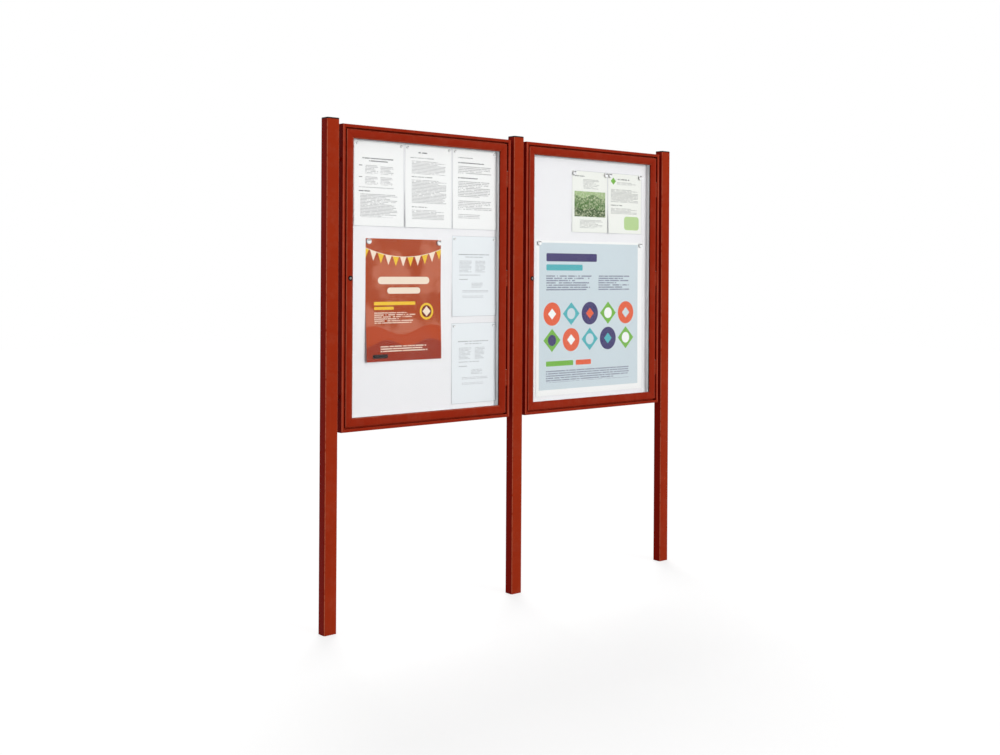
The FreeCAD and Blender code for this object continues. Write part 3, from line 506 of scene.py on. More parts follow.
def coat_material(name, corners=None):
    """Satin powder coat; corners is the (low, high) box of a frame whose mitre joints show."""
    finish = settings().finish
    material, shader, place = new_material(name)
    height, tone = grain(place, finish.coat_grain)
    streaks, dust = weather(place)
    # Masks for a painted highlight on rounded edges and for painted shade on faces that look sideways.
    rounded, side = edge(Wire(place.node, "Normal"), place, *((0.8, 0.74) if corners else (0.92, 0.78)))
    # Cases and doors use the darker copy of the coat, which is painted shade.
    deep, light = (finish.case_coat_deep, finish.case_coat) if corners else (finish.coat_deep, finish.coat)
    tint = layer(tone, deep, light)
    # Side faces take the darker coat as painted shade; rounded edges take the lighter coat as painted highlight.
    shown = [(streaks, 0.12, finish.coat_streaks), (dust, 0.08, finish.coat_dust), (side, 0.85, finish.coat_side),
             (rounded, 0.5, finish.coat_edge)]
    if corners:
        low, high = corners
        joint, worn = mitre(centred_on(place, (low + high) / 2), (high.x - low.x) / 2, (high.z - low.z) / 2,
                            finish.joint_width / 2)
        # The uprights' lip and bead get a lighter coat as painted highlight; the joint is a dark hairline.
        shown += [(worn, 0.3, finish.coat_edge), (joint, 0.75, finish.joint)]
        height = height - joint * 3
    for mask, share, ink in shown:
        tint = layer(mask * share, tint, ink)
    rough = ramp(tone, 0, 1, -0.05, 0.05) + finish.coat_roughness + dust * 0.12
    feed(shader, {"Base Color": tint, "Roughness": rough, "Normal": bump(height, 0.00008, 0.6),
                  "Specular IOR Level": 0.02})
    return material


def plastic_material(name, tint, grain_size, roughness, gloss):
    """Moulded plastic, lighter where its grain stands out."""
    material, shader, place = new_material(name)
    grained = grain(place, grain_size)
    dusty = tuple(min(1, part * 1.1 + 0.008) for part in tint)
    dress(shader, layer(grained[1], tint, dusty), grained, rough=(roughness - 0.06, roughness + 0.08),
          relief=(0.00006, 0.5), gloss=gloss)
    return material


def rubber_material(name):
    """Extruded rubber with a film of dust."""
    rubber = settings().finish.rubber
    material, shader, place = new_material(name)
    dusty = tuple(part + 0.03 for part in rubber)
    dress(shader, layer(weather(place)[1], rubber, dusty), grain(place, 0.0006), rough=(0.6, 0.8),
          relief=(0.00005, 0.6), gloss=0.25)
    return material


def enamel_material(name):
    """White enamelled sheet, nearly smooth, with faint rub marks from magnets."""
    board = settings().finish.board
    material, shader, place = new_material(name)
    worn = tuple(part * 0.93 for part in board)
    dress(shader, layer(weather(place)[1] * 0.35, board, worn), grain(place, 0.004), rough=(0.34, 0.46),
          relief=(0.00003, 0.4), gloss=0.3)
    return material


def pane_material(name):
    """Clear pane: light and shadow pass straight through, the eye sees glass with a faint film."""
    material, shader, place = new_material(name)
    tree = material.node_tree
    feed(shader, {"Base Color": rgba(settings().finish.pane), "Transmission Weight": 1, "IOR": 1.2,
                  "Roughness": weather(place)[0] * 0.02})
    path = add("LightPath", tree=tree)
    through = calc("MAXIMUM", Wire(path, "Is Shadow Ray"), Wire(path, "Is Diffuse Ray"))
    clear = add("BsdfTransparent", (rgba((0.975, 0.98, 0.98)),), tree)
    surface(add("MixShader", (through, Wire(shader), Wire(clear))))
    return material


def metal_material(name, tint, roughness, axis=None):
    """Plated metal; with an axis it shows turning marks round it, otherwise a fine brushed grain."""
    material, shader, place = new_material(name)
    height, tone = rings(centred_on(place, axis)) if axis else grain(place, 0.0005)
    dull = tuple(part * 0.72 for part in tint)
    feed(shader, {"Base Color": layer(tone, dull, tint), "Metallic": 1, "Normal": bump(height, 0.00002, 0.5),
                  "Roughness": ramp(tone, 0, 1, roughness + 0.12, roughness - 0.04)})
    return material


def mm(*sizes):
    return [size * MM for size in sizes]


class Print:
    """Inks laid one over the other on a sheet, in millimetres from its top left corner."""

    def __init__(self, place, corner, ground):
        x, y, z = parts(place)
        self.spot = (x - corner[0], corner[1] - z)
        self.tint = ground

    def lay(self, mask, ink):
        self.tint = layer(mask, self.tint, ink)

    def bar(self, ink, *sizes):
        self.lay(*bar(*self.spot, *mm(*sizes)), ink)

    def disc(self, ink, middle, depth, radius, pinch):
        self.lay(*disc(*self.spot, *mm(middle, depth, radius), pinch), ink)

    def hills(self, ink, *sizes):
        self.lay(*hills(*self.spot, *mm(*sizes)), ink)

    def lines(self, ink, seed, left, top, right, bottom, pitch, strength):
        self.lay(*lines(*self.spot, *mm(left, top, right, bottom, pitch), strength, seed), ink)


def finish_paper(shader, place, tint, roughness):
    """Paper fibres under whatever is printed on it."""
    grained = grain(place, 0.0009)
    fibres = layer(grained[1] * 0.06, tint, (0.55, 0.55, 0.55))
    dress(shader, fibres, grained, rough=(roughness - 0.05, roughness + 0.05), relief=(0.00003, 0.4), gloss=0.06)


def sheet_material(name, side, corner, layout, seed):
    """Sheet of paper with a thin grey line of painted shade round its edge, and blocks of print."""
    prints = settings().prints
    material, shader, place = new_material(name)
    wide, tall = SHEET_SIZE[side]
    outline = 0.9
    kinds = {"fixtures": prints.thin_paper, "outing": prints.soft_paper, "course": prints.soft_paper}
    # The grey ground shows as a line of painted shade round the sheet's edge.
    sheet = Print(place, corner, prints.paper_edge)
    sheet.bar(kinds.get(layout, prints.paper), outline, outline, wide - outline, tall - outline)
    if layout == "outing":
        sheet.bar(landscape(place, corner), 14, 82, 188, 184)
    if layout == "course":
        sheet.disc(prints.green, 32, 32, 15, 1)
        sheet.bar(colour(186, 214, 150), 96, 176, 184, 232, 14)
    for *block, strength in LAYOUTS[layout]:
        sheet.lines(prints.ink, seed, *block, strength ** 2 * 0.9)
    finish_paper(shader, place, sheet.tint, 0.75)
    return material


def landscape(place, corner):
    """Small picture of far ridges and a leafy slope; returns its colours."""
    view = Print(place, corner, colour(158, 184, 130))
    view.hills(colour(96, 128, 74), 102, 7, 110, 20)
    view.hills(settings().prints.meadow, 124, 6, 150, 70)
    view.hills(colour(60, 86, 44), 152, 5, 90, 0)
    view.lay(ramp(noise(place, 130, 5, 0.75), 0.48, 0.6) * 0.75, colour(206, 212, 176))
    return view.tint


def fair_poster_material(name, corner):
    """Left poster: pennants over rolling hills on a terracotta ground."""
    prints = settings().prints
    material, shader, place = new_material(name)
    blotches = ramp(noise(place, 7, 5), 0, 1, -5.2, 5.8)
    sheet = Print(place, corner, layer(blotches, prints.terracotta, prints.rust))
    sheet.hills(colour(180, 64, 14), 322, 16, 260, 40)
    sheet.hills(colour(150, 44, 14), 368, 12, 190, 150)
    for shift, ink in ((0, prints.cream), (32, prints.yellow)):
        pennants, line = flags(*sheet.spot, *mm(34, 64, 34, 30, 328, shift))
        sheet.lay(pennants, ink)
    sheet.lay(line, prints.cream)
    sheet.bar(prints.cream, 52, 134, 276, 160, 13)
    sheet.bar(prints.cream, 92, 172, 236, 194, 11)
    sheet.bar(prints.yellow, 36, 222, 214, 234, 2)
    sheet.bar(prints.yellow, 36, 240, 120, 250, 2)
    sheet.lines(prints.cream, 3, 36, 258, 214, 300, 7, 0.85)
    for radius, ink, pinch in ((30, prints.yellow, 0), (22, prints.brown, 0), (18, prints.cream, 1)):
        sheet.disc(ink, 264, 258, radius, pinch)
    sheet.lines(prints.cream, 9, 60, 376, 268, 398, 8, 0.9)
    sheet.bar(colour(30, 22, 22), 26, 406, 92, 420, 2)
    finish_paper(shader, place, sheet.tint, 0.5)
    return material


def programme_poster_material(name, corner):
    """Right poster: lines of print over a band of plain shapes on a misty ground with white margins."""
    prints = settings().prints
    material, shader, place = new_material(name)
    sheet = Print(place, corner, prints.paper)
    sheet.bar(prints.mist, 14, 9, 571, 588)
    sheet.bar(prints.navy, 52, 50, 330, 82, 5)
    sheet.bar(prints.teal, 52, 94, 250, 118, 5)
    sheet.lines(prints.navy, 4, 52, 136, 300, 200, 9, 0.7)
    sheet.lines(prints.navy, 12, 340, 136, 520, 200, 9, 0.7)
    inks = (prints.coral, prints.teal, prints.navy, prints.green)
    for row in range(2):
        for column in range(5):
            middle, depth = 84 + 104 * column, 290 + 104 * row
            pinch = (column + row) % 2
            inner = (prints.paper, prints.mist, inks[(column + 2) % 4])[(column + 2 * row) % 3]
            sheet.disc(inks[(column + 3 * row) % 4], middle, depth, 46, pinch)
            sheet.disc(inner, middle, depth, 22, 1 - pinch)
    sheet.bar(prints.green, 52, 476, 200, 496, 4)
    sheet.bar(prints.coral, 214, 476, 300, 496, 4)
    sheet.lines(prints.navy, 21, 52, 512, 520, 560, 9, 0.6)
    finish_paper(shader, place, sheet.tint, 0.5)
    return material


# Modelling helpers

def deselect():
    bpy.ops.object.select_all(action="DESELECT")


def pick(piece):
    """Select one piece alone and make it the active one."""
    deselect()
    piece.select_set(True)
    bpy.context.view_layer.objects.active = piece


class Editing:
    """Steps between the start and the end of edit mode."""

    def __enter__(self):
        bpy.ops.object.mode_set(mode="EDIT")

    def __exit__(self, *error):
        bpy.ops.object.mode_set(mode="OBJECT")


def select(piece, kind, chosen):
    """Select points by their place, edges by their two ends or faces by their normal."""
    mesh = piece.data
    tests = {
        "points": (mesh.vertices, lambda point: chosen(point.co)),
        "edges": (mesh.edges, lambda line: chosen(*(mesh.vertices[end].co for end in line.vertices))),
        "faces": (mesh.polygons, lambda face: chosen(face.normal)),
    }
    bpy.context.tool_settings.mesh_select_mode = [name == kind for name in tests]
    for elements, test in tests.values():
        elements.foreach_set("select", [False] * len(elements))
    elements, test = tests[kind]
    for element in elements:
        element.select = test(element)


def apply_place(piece):
    pick(piece)
    bpy.ops.object.transform_apply(location=True, rotation=True, scale=True)


def apply_modifier(piece, kind, **options):
    modifier = piece.modifiers.new(kind.title(), kind)
    for name, option in options.items():
        setattr(modifier, name, option)
    bpy.context.view_layer.objects.active = piece
    bpy.ops.object.modifier_apply(modifier=modifier.name)


def smooth(piece, degrees=35):
    pick(piece)
    bpy.ops.object.shade_smooth_by_angle(angle=math.radians(degrees))


def block(name, middle, size):
    """Plain block, to be shaped."""
    deselect()
    bpy.ops.mesh.primitive_cube_add(size=1, location=middle)
    piece = bpy.context.object
    piece.name = name
    piece.scale = size
    apply_place(piece)
    return piece


def turned(name, stations, sides=32, hollow=False):
    """Turn a piece about z from (height, radius) stations, drawn out one after another."""
    bpy.context.tool_settings.mesh_select_mode = (True, False, False)
    deselect()
    height, radius = stations[0]
    bpy.ops.mesh.primitive_circle_add(vertices=sides, radius=radius, location=(0, 0, height),
                                      fill_type="NOTHING" if hollow else "NGON")
    piece = bpy.context.object
    piece.name = name
    with Editing():
        bpy.ops.mesh.select_all(action="SELECT")
        for next_height, next_radius in stations[1:]:
            bpy.ops.mesh.extrude_region_move(TRANSFORM_OT_translate={"value": (0, 0, next_height - height)})
            share = next_radius / radius
            bpy.ops.transform.resize(value=(share, share, 1), center_override=(0, 0, next_height))
            height, radius = next_height, next_radius
        bpy.ops.mesh.select_all(action="SELECT")
        bpy.ops.mesh.remove_doubles(threshold=MERGED)
        bpy.ops.mesh.normals_make_consistent(inside=False)
    apply_place(piece)
    return piece


def set_place(piece, place, turn):
    """Turn a finished piece, set it at its place and leave that place in its mesh."""
    piece.rotation_euler = turn
    piece.location = place
    apply_place(piece)


def repeat(piece, name, places, turn):
    """Set copies of a small part at several places and join them."""
    made = []
    for number, place in enumerate(places):
        copied = piece.copy()
        copied.data = piece.data.copy()
        copied.name = "%s_%d" % (name, number)
        bpy.context.scene.collection.objects.link(copied)
        set_place(copied, place, turn)
        made.append(copied)
    bpy.data.objects.remove(piece)
    pick(made[0])
    for copied in made:
        copied.select_set(True)
    bpy.ops.object.join()
    made[0].name = name
    return made[0]


def fit(piece, body, slot, material, *nodes):
    """Finish a piece: its material, the body it rides on and the nodes it stands for."""
    piece.data.materials.clear()
    piece.data.materials.append(material)
    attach(piece, body)
    if nodes:
        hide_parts(*nodes)


def paint(material, *nodes):
    for name in nodes:
        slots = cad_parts[name].data.materials
        slots.clear()
        slots.append(material)


def case_box(side):
    """Lowest and highest corner of a case's housing."""
    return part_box(side + "_housing_bottom_rail")[0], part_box(side + "_housing_top_rail")[1]


def paper_corner(side, place):
    """Left edge and top edge of a sheet, in metres in the board's own frame."""
    low, high = case_box(side)
    return low.x + place[0] * MM, high.z - place[1] * MM


# Pieces

class NOTICE_OT_coated_frames(bpy.types.Operator):
    """Powder-coat the posts, housings, door frames, hinge leaves and spacers"""
    bl_idname = "notice.coated_frames"
    bl_label = "Coated frames"

    strips = 10
    near = 0.0003

    def execute(self, context):
        plain = coat_material("post_coat")
        paint(plain, "post_left", "post_middle", "post_right")
        for side in SIDES:
            coat = coat_material(side + "_case_coat", case_box(side))
            for name in ("top_rail", "bottom_rail", "left_side", "right_side"):
                paint(coat, "%s_housing_%s" % (side, name))
            for name in ("top_rail", "bottom_rail", "lock_stile", "hinge_stile"):
                node = "%s_door_%s" % (side, name)
                fit(self.crowned(side, name, node), side + "_door", "frame_coat", coat, node)
            paint(plain, side + "_hinge_fixed_leaves", side + "_hinge_door_leaves", side + "_case_spacers")
        return {"FINISHED"}

    def crowned(self, side, name, node):
        """Copy a bar of a door frame, cut its flat face into strips along it and curve them to a crown."""
        piece = bpy.data.objects.new(node + "_crowned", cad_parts[node].data.copy())
        bpy.context.scene.collection.objects.link(piece)
        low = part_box(side + "_door_bottom_rail")[0]
        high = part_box(side + "_door_top_rail")[1]
        axis, rim, inward = {
            "lock_stile": (0, low.x, 1), "hinge_stile": (0, high.x, -1),
            "bottom_rail": (2, low.z, 1), "top_rail": (2, high.z, -1),
        }[name]
        start, end = settings().fittings.crown_start, settings().fittings.crown_end
        across = [1.0 if part == axis else 0.0 for part in range(3)]
        bpy.context.tool_settings.mesh_select_mode = (True, False, False)
        pick(piece)
        with Editing():
            bpy.ops.mesh.select_all(action="SELECT")
            bpy.ops.mesh.remove_doubles(threshold=MERGED)
            for step in range(1, self.strips):
                station = start + step * (end - start) / self.strips
                bpy.ops.mesh.select_all(action="SELECT")
                bpy.ops.mesh.bisect(plane_co=[(rim + inward * station) * part for part in across], plane_no=across)

        def reach(spot):
            """Distance in from the door's edge, for corners of the flat face alone."""
            return round((spot[axis] - rim) * inward, 5) if spot.y < low.y + self.near else 0

        for station in sorted({reach(vertex.co) for vertex in piece.data.vertices}):
            if start < station < end + self.near:
                select(piece, "points", lambda spot: reach(spot) == station)
                with Editing():
                    bpy.ops.transform.translate(value=(0, self.setback(station), 0))
        smooth(piece, 30)
        return piece

    def setback(self, station):
        """How far the crowned face lies behind the flat one, at a distance from the door's edge."""
        fittings = settings().fittings
        ridge, rise = fittings.crown_ridge, fittings.crown_rise
        if station < ridge:
            return -rise * (1 - ((ridge - station) / (ridge - fittings.crown_start)) ** 2)
        return (rise + fittings.crown_fall) * ((station - ridge) / (fittings.crown_end - ridge)) ** 2 - rise


class NOTICE_OT_post_caps(bpy.types.Operator):
    """Mould the black caps that plug the posts"""
    bl_idname = "notice.post_caps"
    bl_label = "Post caps"

    def execute(self, context):
        fittings = settings().fittings
        plastic = plastic_material("cap_plastic", settings().finish.cap, 0.0008, 0.5, 0.08)
        for place in ("left", "middle", "right"):
            node = "post_cap_" + place
            low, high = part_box(node)
            thick = fittings.cap_plate - fittings.cap_crown
            middle = ((low.x + high.x) / 2, (low.y + high.y) / 2, high.z - fittings.cap_plate + thick / 2)
            cap = block("post_plug_" + place, middle, (high.x - low.x, high.y - low.y, thick))
            self.round_corners(cap, fittings.cap_corner)
            self.crown(cap, fittings.cap_crown)
            self.hollow_plug(cap, low.z)
            smooth(cap, 30)
            fit(cap, "stand", "cap_plastic", plastic, node)
        return {"FINISHED"}

    def round_corners(self, cap, radius):
        select(cap, "edges", lambda start, end: abs(start.z - end.z) > 0.001)
        with Editing():
            bpy.ops.mesh.bevel(offset=radius, segments=6, affect="EDGES")

    def crown(self, cap, rise):
        """Roll the top edge over in three steps, then crown the top a little."""
        select(cap, "faces", lambda normal: normal.z > 0.9)
        with Editing():
            for inset, lift in ((0.12, 0.42), (0.26, 0.3), (0.5, 0.16), (3.2, 0.12)):
                bpy.ops.mesh.inset(thickness=inset * rise)
                bpy.ops.transform.translate(value=(0, 0, lift * rise))

    def hollow_plug(self, cap, foot):
        """Draw the hollow plug down from the plate's underside."""
        fittings = settings().fittings
        top = min(vertex.co.z for vertex in cap.data.vertices)
        select(cap, "faces", lambda normal: normal.z < -0.9)
        with Editing():
            for inset, drop in ((fittings.cap_shoulder, foot - top), (fittings.cap_wall, (top - foot) * 0.94)):
                bpy.ops.mesh.inset(thickness=inset)
                bpy.ops.mesh.extrude_region_move(TRANSFORM_OT_translate={"value": (0, 0, drop)})


class NOTICE_OT_seals(bpy.types.Operator):
    """Give the seals and gaskets their rubber"""
    bl_idname = "notice.seals"
    bl_label = "Seals and gaskets"

    def execute(self, context):
        rubber = rubber_material("seal_rubber")
        for side in SIDES:
            paint(rubber, side + "_door_seal", side + "_glazing_gasket")
        return {"FINISHED"}


class NOTICE_OT_panes_and_panels(bpy.types.Operator):
    """Give the panes their glass and the back panels their white enamel"""
    bl_idname = "notice.panes_and_panels"
    bl_label = "Panes and back panels"

    def execute(self, context):
        pane = pane_material("clear_pane")
        enamel = enamel_material("white_enamel")
        for side in SIDES:
            paint(pane, side + "_door_pane")
            paint(enamel, side + "_back_panel", side + "_inner_lining")
        return {"FINISHED"}


def make_paper(name, side, place, size, lifts):
    """Flat sheet against the back panel whose free lower corners lift by their shares of the curl."""
    prints = settings().prints
    left, top = paper_corner(side, place)
    wide, tall = mm(*size)
    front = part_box(side + "_back_panel")[0].y
    deselect()
    bpy.ops.mesh.primitive_grid_add(x_subdivisions=16, y_subdivisions=22, size=1,
                                    rotation=(math.radians(90), 0, 0),
                                    location=(left + wide / 2, front - prints.thickness, top - tall / 2))
    paper = bpy.context.object
    paper.name = name
    paper.scale = (wide, tall, 1)
    apply_place(paper)
    near = 0.0001
    for corner_x, lift in zip((left, left + wide), lifts):
        select(paper, "points", lambda spot: abs(spot.x - corner_x) < near and spot.z < top - tall + near)
        with Editing():
            bpy.ops.transform.translate(value=(0, -lift * prints.curl, 0), use_proportional_edit=True,
                                        proportional_edit_falloff="SMOOTH", proportional_size=tall * 0.55)
    apply_modifier(paper, "SOLIDIFY", thickness=prints.thickness, offset=0)
    smooth(paper)
    return paper


class NOTICE_OT_notice_sheets(bpy.types.Operator):
    """Hang the paper sheets in both cases"""
    bl_idname = "notice.notice_sheets"
    bl_label = "Notice sheets"

    def execute(self, context):
        for side in SIDES:
            for number, place in enumerate(SHEET_PLACES[side]):
                name = "%s_sheet_%d" % (side, number + 1)
                paper = make_paper(name, side, place, SHEET_SIZE[side], SHEET_LIFTS[number])
                material = sheet_material(name, side, paper_corner(side, place), SHEET_LAYOUTS[side][number],
                                          number * 17)
                fit(paper, "stand", "sheet_paper", material, side + "_notice_sheets")
        return {"FINISHED"}


class NOTICE_OT_posters(bpy.types.Operator):
    """Hang a poster in each case"""
    bl_idname = "notice.posters"
    bl_label = "Posters"

    def execute(self, context):
        for side, maker in zip(SIDES, (fair_poster_material, programme_poster_material)):
            name = side + "_poster_print"
            paper = make_paper(name, side, POSTER_PLACE[side], POSTER_SIZE[side], POSTER_LIFTS[side])
            material = maker(name, paper_corner(side, POSTER_PLACE[side]))
            fit(paper, "stand", "poster_paper", material, side + "_poster")
        return {"FINISHED"}


class NOTICE_OT_magnets(bpy.types.Operator):
    """Set a round magnet near both top corners of every sheet and poster"""
    bl_idname = "notice.magnets"
    bl_label = "Magnets"

    def cap(self, name, radius, height):
        """Moulded button with a rounded rim and a shallow dish."""
        rim = height * 0.22
        return turned(name, [(height * 0.35, radius * 0.97), (height * 0.5, radius), (height - rim, radius * 0.985),
                             (height - rim * 0.3, radius * 0.95), (height, radius * 0.86),
                             (height - rim * 0.35, radius * 0.74), (height - rim * 0.7, radius * 0.3)])

    def core(self, name, radius, height):
        """Ferrite disc that shows behind the cap."""
        return turned(name, [(0, radius * 0.86), (height * 0.05, radius * 0.92), (height * 0.34, radius * 0.92)])

    def grip(self, name, radius, height):
        """Dark bar across the cap's upper half."""
        piece = block(name, (0, radius * 0.5, height * 0.94), (radius * 1.25, radius * 0.3, height * 0.3))
        apply_modifier(piece, "BEVEL", width=radius * 0.1, segments=3)
        return piece

    def places(self, side, items):
        fittings = settings().fittings
        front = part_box(side + "_back_panel")[0].y - fittings.paper_room
        inset = fittings.magnet_inset
        places = []
        for place, wide in items:
            left, top = paper_corner(side, place)
            places += [(left + across, front, top - inset) for across in (inset, wide * MM - inset)]
        return places

    def execute(self, context):
        fittings = settings().fittings
        plastic = plastic_material("magnet_plastic", fittings.magnet_plastic, 0.002, 0.32, 0.5)
        ferrite = plastic_material("magnet_ferrite", settings().finish.ferrite, 0.0005, 0.6, 0.3)
        toward_reader = (math.radians(90), 0, 0)
        for side in SIDES:
            sheets = [(place, SHEET_SIZE[side][0]) for place in SHEET_PLACES[side]]
            posters = [(POSTER_PLACE[side], POSTER_SIZE[side][0])]
            for kind, items in {"left": {"small": sheets, "large": posters},
                                "right": {"large": sheets + posters}}[side].items():
                sizes = getattr(fittings, kind + "_magnet"), getattr(fittings, kind + "_magnet_height")
                for part, maker, material in (("caps", self.cap, plastic), ("cores", self.core, ferrite),
                                              ("grips", self.grip, ferrite)):
                    name = "%s_%s_magnet_%s" % (side, kind, part)
                    piece = repeat(maker(name, *sizes), name, self.places(side, items), toward_reader)
                    smooth(piece, 40)
                    fit(piece, "stand", "magnet_plastic", material, side + "_magnets")
        return {"FINISHED"}


class NOTICE_OT_locks(bpy.types.Operator):
    """Build the lock barrels with their threads, and finish plugs, cams and nuts"""
    bl_idname = "notice.locks"
    bl_label = "Locks"

    head, thread, bore = 0.0025, 0.006, 0.00405
    plain_neck, lead = 0.008, 0.0005

    def barrel(self, name, low, high):
        pitch = settings().fittings.thread_pitch
        deep, outer = high.y - low.y, (high.x - low.x) / 2
        head, thread, bore, lead = self.head, self.thread, self.bore, self.lead
        stations = [(lead, bore), (0.0, bore + lead), (0.0, outer * 0.8), (0.0003, outer * 0.92),
                    (0.0009, outer * 0.99), (0.0014, outer), (head, outer), (head, thread)]
        depth = head + self.plain_neck
        while depth + pitch < deep - lead:
            stations += [(depth, thread), (depth + pitch / 2, thread * 0.93)]
            depth += pitch
        stations += [(depth, thread), (deep, thread * 0.95), (deep, bore), (lead, bore)]
        return turned(name, stations, 40, hollow=True)

    def execute(self, context):
        finish = settings().finish
        for side in SIDES:
            low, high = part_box(side + "_lock_barrel")
            axis = ((low.x + high.x) / 2, low.y, (low.z + high.z) / 2)
            barrel = self.barrel(side + "_lock_barrel_turned", low, high)
            set_place(barrel, axis, (math.radians(-90), 0, 0))
            smooth(barrel, 30)
            dark = metal_material(side + "_dark_nickel", finish.dark_nickel, 0.3, axis)
            fit(barrel, side + "_door", "lock_metal", dark, side + "_lock_barrel")
            paint(metal_material(side + "_nickel", finish.nickel, 0.34, axis), side + "_lock_plug")
            paint(metal_material(side + "_lock_zinc", finish.zinc, 0.35), side + "_lock_cam", side + "_lock_nut")
        return {"FINISHED"}


class NOTICE_OT_fixings(bpy.types.Operator):
    """Plate the bolts, nuts and hinge pins, and leave the corner cleats bare"""
    bl_idname = "notice.fixings"
    bl_label = "Fixings"

    def execute(self, context):
        finish = settings().finish
        zinc = metal_material("zinc_plate", finish.zinc, 0.32)
        bare = metal_material("bare_aluminium", finish.bare, 0.42)
        paint(zinc, "post_nuts", "case_bolts")
        for side in SIDES:
            paint(zinc, side + "_hinge_pins")
            paint(bare, side + "_housing_cleats", side + "_door_cleats")
        return {"FINISHED"}


class NOTICE_OT_rivets(bpy.types.Operator):
    """Rivet the hinge leaves to their frames and the rear flange to the back panel"""
    bl_idname = "notice.rivets"
    bl_label = "Rivets"

    # Hinge leaves: thickness and half height, and how far the rivets are from the rear edge and from the middle.
    leaf, half_leaf, from_rear, from_middle = 0.0012, 0.03, 0.0045, 0.018
    # Back panels: how far in the rivets are; for an upright and a rail, how many and how far from the ends.
    inset, upright, rail = 0.007, (5, 0.075), (3, 0.125)

    def rivets(self, name, places, turn, body, zinc):
        fittings = settings().fittings
        radius, height = fittings.rivet, fittings.rivet_height
        head = turned(name, [(0, radius), (height * 0.3, radius), (height * 0.75, radius * 0.8),
                             (height, radius * 0.45), (height, radius * 0.3), (height * 0.7, radius * 0.22)], 16)
        rivets = repeat(head, name, places, turn)
        smooth(rivets, 50)
        fit(rivets, body, "zinc_steel", zinc)

    def leaf_rivets(self, side, kind, body, facing, zinc):
        """Two rivets on each of the three leaves; facing is 1 where the heads look along +x."""
        low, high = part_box("%s_hinge_%s_leaves" % (side, kind))
        face = low.x + self.leaf if facing > 0 else high.x - self.leaf
        middles = (low.z + self.half_leaf, (low.z + high.z) / 2, high.z - self.half_leaf)
        places = [(face, high.y - self.from_rear, middle + step) for middle in middles
                  for step in (-self.from_middle, self.from_middle)]
        self.rivets("%s_%s_leaf_rivets" % (side, kind), places, (0, math.radians(90 * facing), 0), body, zinc)

    def steps(self, low, high, count, end):
        """Even steps along a side, from a distance past its low end to the same before its high end."""
        return [low + end + step * (high - low - 2 * end) / (count - 1) for step in range(count)]

    def panel_rivets(self, side, zinc):
        low, high = case_box(side)
        places = [(x, high.y, z) for z in self.steps(low.z, high.z, *self.upright)
                  for x in (low.x + self.inset, high.x - self.inset)]
        places += [(x, high.y, z) for x in self.steps(low.x, high.x, *self.rail)
                   for z in (low.z + self.inset, high.z - self.inset)]
        self.rivets(side + "_panel_rivets", places, (math.radians(-90), 0, 0), "stand", zinc)

    def execute(self, context):
        zinc = metal_material("rivet_zinc", settings().finish.zinc, 0.34)
        for side in SIDES:
            self.leaf_rivets(side, "fixed", "stand", -1, zinc)
            self.leaf_rivets(side, "door", side + "_door", 1, zinc)
            self.panel_rivets(side, zinc)
        return {"FINISHED"}


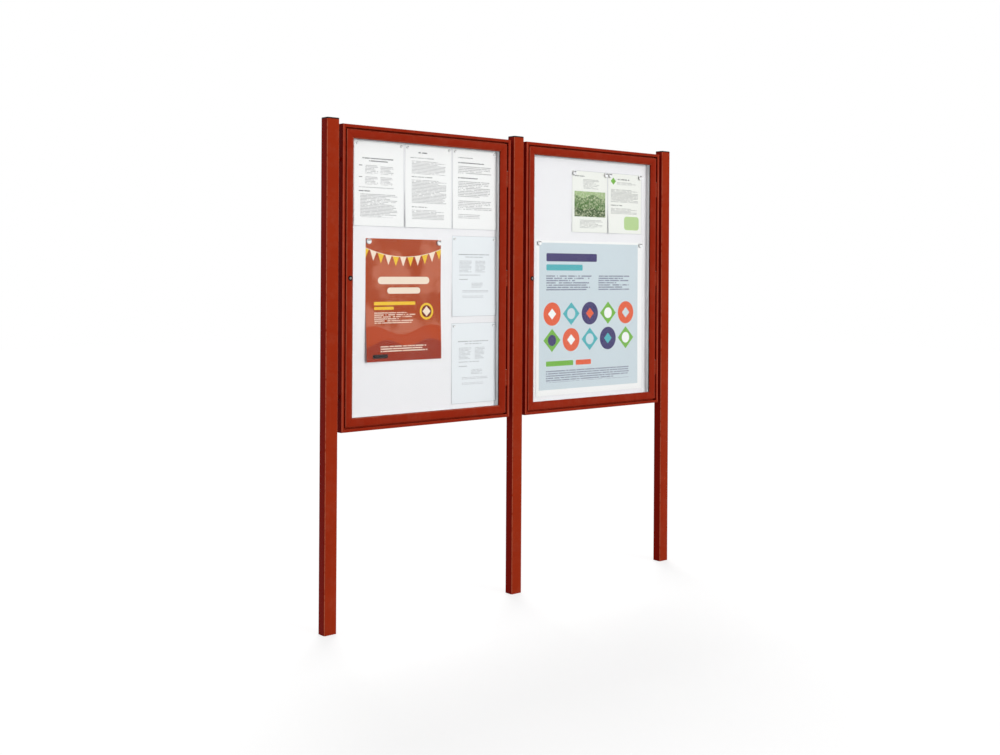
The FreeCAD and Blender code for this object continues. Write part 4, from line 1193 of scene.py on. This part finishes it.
class NOTICE_OT_stage(bpy.types.Operator):
    """Set up the pale floor, the soft light and the camera"""
    bl_idname = "notice.stage"
    bl_label = "Stage"

    white = (1, 1, 1, 1)
    lamp_distance = 4

    def floor(self, glow):
        deselect()
        bpy.ops.mesh.primitive_plane_add(size=30, location=(0, 0, cad_box[0].z))
        floor = bpy.context.object
        floor.name = "floor"
        material, shader, place = new_material("pale_floor")
        tone = ramp(noise(place, 3, 4), 0, 1, 0.29, 0.31)
        feed(shader, {"Base Color": Wire(add("CombineColor", (tone, tone, tone))), "Roughness": 0.9,
                      "Specular IOR Level": 0})
        glowing = add("Emission", {"Color": self.white, "Strength": seen(material.node_tree) * glow})
        surface(add("AddShader", (Wire(shader), Wire(glowing))))
        floor.data.materials.append(material)

    def world(self, sky):
        world = bpy.data.worlds.new("soft_sky")
        bpy.context.scene.world = world
        world.use_nodes = True
        strength = Wire(add("Mix", {0: seen(world.node_tree), 2: sky, 3: 1.0}))
        feed(world.node_tree.nodes["Background"], {"Color": self.white, "Strength": strength})

    def lamp(self, name, shines_from, strength, spread):
        data = bpy.data.lights.new(name, "SUN")
        data.energy = strength
        data.angle = spread
        lamp = bpy.data.objects.new(name, data)
        lamp.visible_glossy = False
        across, back, up = shines_from
        lamp.location = [part * self.lamp_distance for part in shines_from]
        lamp.rotation_euler = (math.atan2(math.hypot(across, back), up), 0, math.atan2(across, -back))
        bpy.context.scene.collection.objects.link(lamp)

    def camera(self, stage):
        data = bpy.data.cameras.new("photo_camera")
        data.sensor_width = 36
        data.lens = stage.lens
        data.shift_y = stage.shift
        camera = bpy.data.objects.new("photo_camera", data)
        camera.location = stage.camera
        camera.rotation_euler = (math.radians(90), -stage.roll, -stage.heading)
        bpy.context.scene.collection.objects.link(camera)
        bpy.context.scene.camera = camera

    def execute(self, context):
        stage = settings().stage
        self.floor(stage.glow)
        self.world(stage.sky)
        self.lamp("key_lamp", stage.key_from, stage.key, stage.spread)
        self.lamp("rim_lamp", stage.rim_from, stage.rim, stage.spread)
        self.camera(stage)
        context.scene.view_settings.view_transform = "Standard"
        return {"FINISHED"}


OPERATORS = (
    NOTICE_OT_coated_frames,
    NOTICE_OT_post_caps,
    NOTICE_OT_seals,
    NOTICE_OT_panes_and_panels,
    NOTICE_OT_notice_sheets,
    NOTICE_OT_posters,
    NOTICE_OT_magnets,
    NOTICE_OT_locks,
    NOTICE_OT_fixings,
    NOTICE_OT_rivets,
    NOTICE_OT_stage,
)


class NOTICE_PT_panel(bpy.types.Panel):
    """Sizes, colours and steps of the notice board"""
    bl_idname = "NOTICE_PT_panel"
    bl_label = "Notice Board"
    bl_space_type = "VIEW_3D"
    bl_region_type = "UI"
    bl_category = "Notice Board"

    def draw(self, context):
        layout = self.layout
        for operator in OPERATORS:
            layout.operator(operator.bl_idname)
        for group_name in ("finish", "prints", "fittings", "stage"):
            box = layout.box()
            box.label(text=group_name.title())
            values = getattr(settings(), group_name)
            for name in values.__annotations__:
                box.prop(values, name)


SETTINGS = (FinishSettings, PrintSettings, FittingSettings, StageSettings, BoardSettings)
CLASSES = SETTINGS + OPERATORS + (NOTICE_PT_panel,)


def register():
    for item in CLASSES:
        bpy.utils.register_class(item)
    bpy.types.Scene.notice_board = bpy.props.PointerProperty(type=BoardSettings)


def unregister():
    del bpy.types.Scene.notice_board
    for item in reversed(CLASSES):
        bpy.utils.unregister_class(item)


def main():
    register()
    for operator in OPERATORS:
        getattr(bpy.ops.notice, operator.bl_idname.split(".")[1])()


if __name__ == "__main__":
    main()
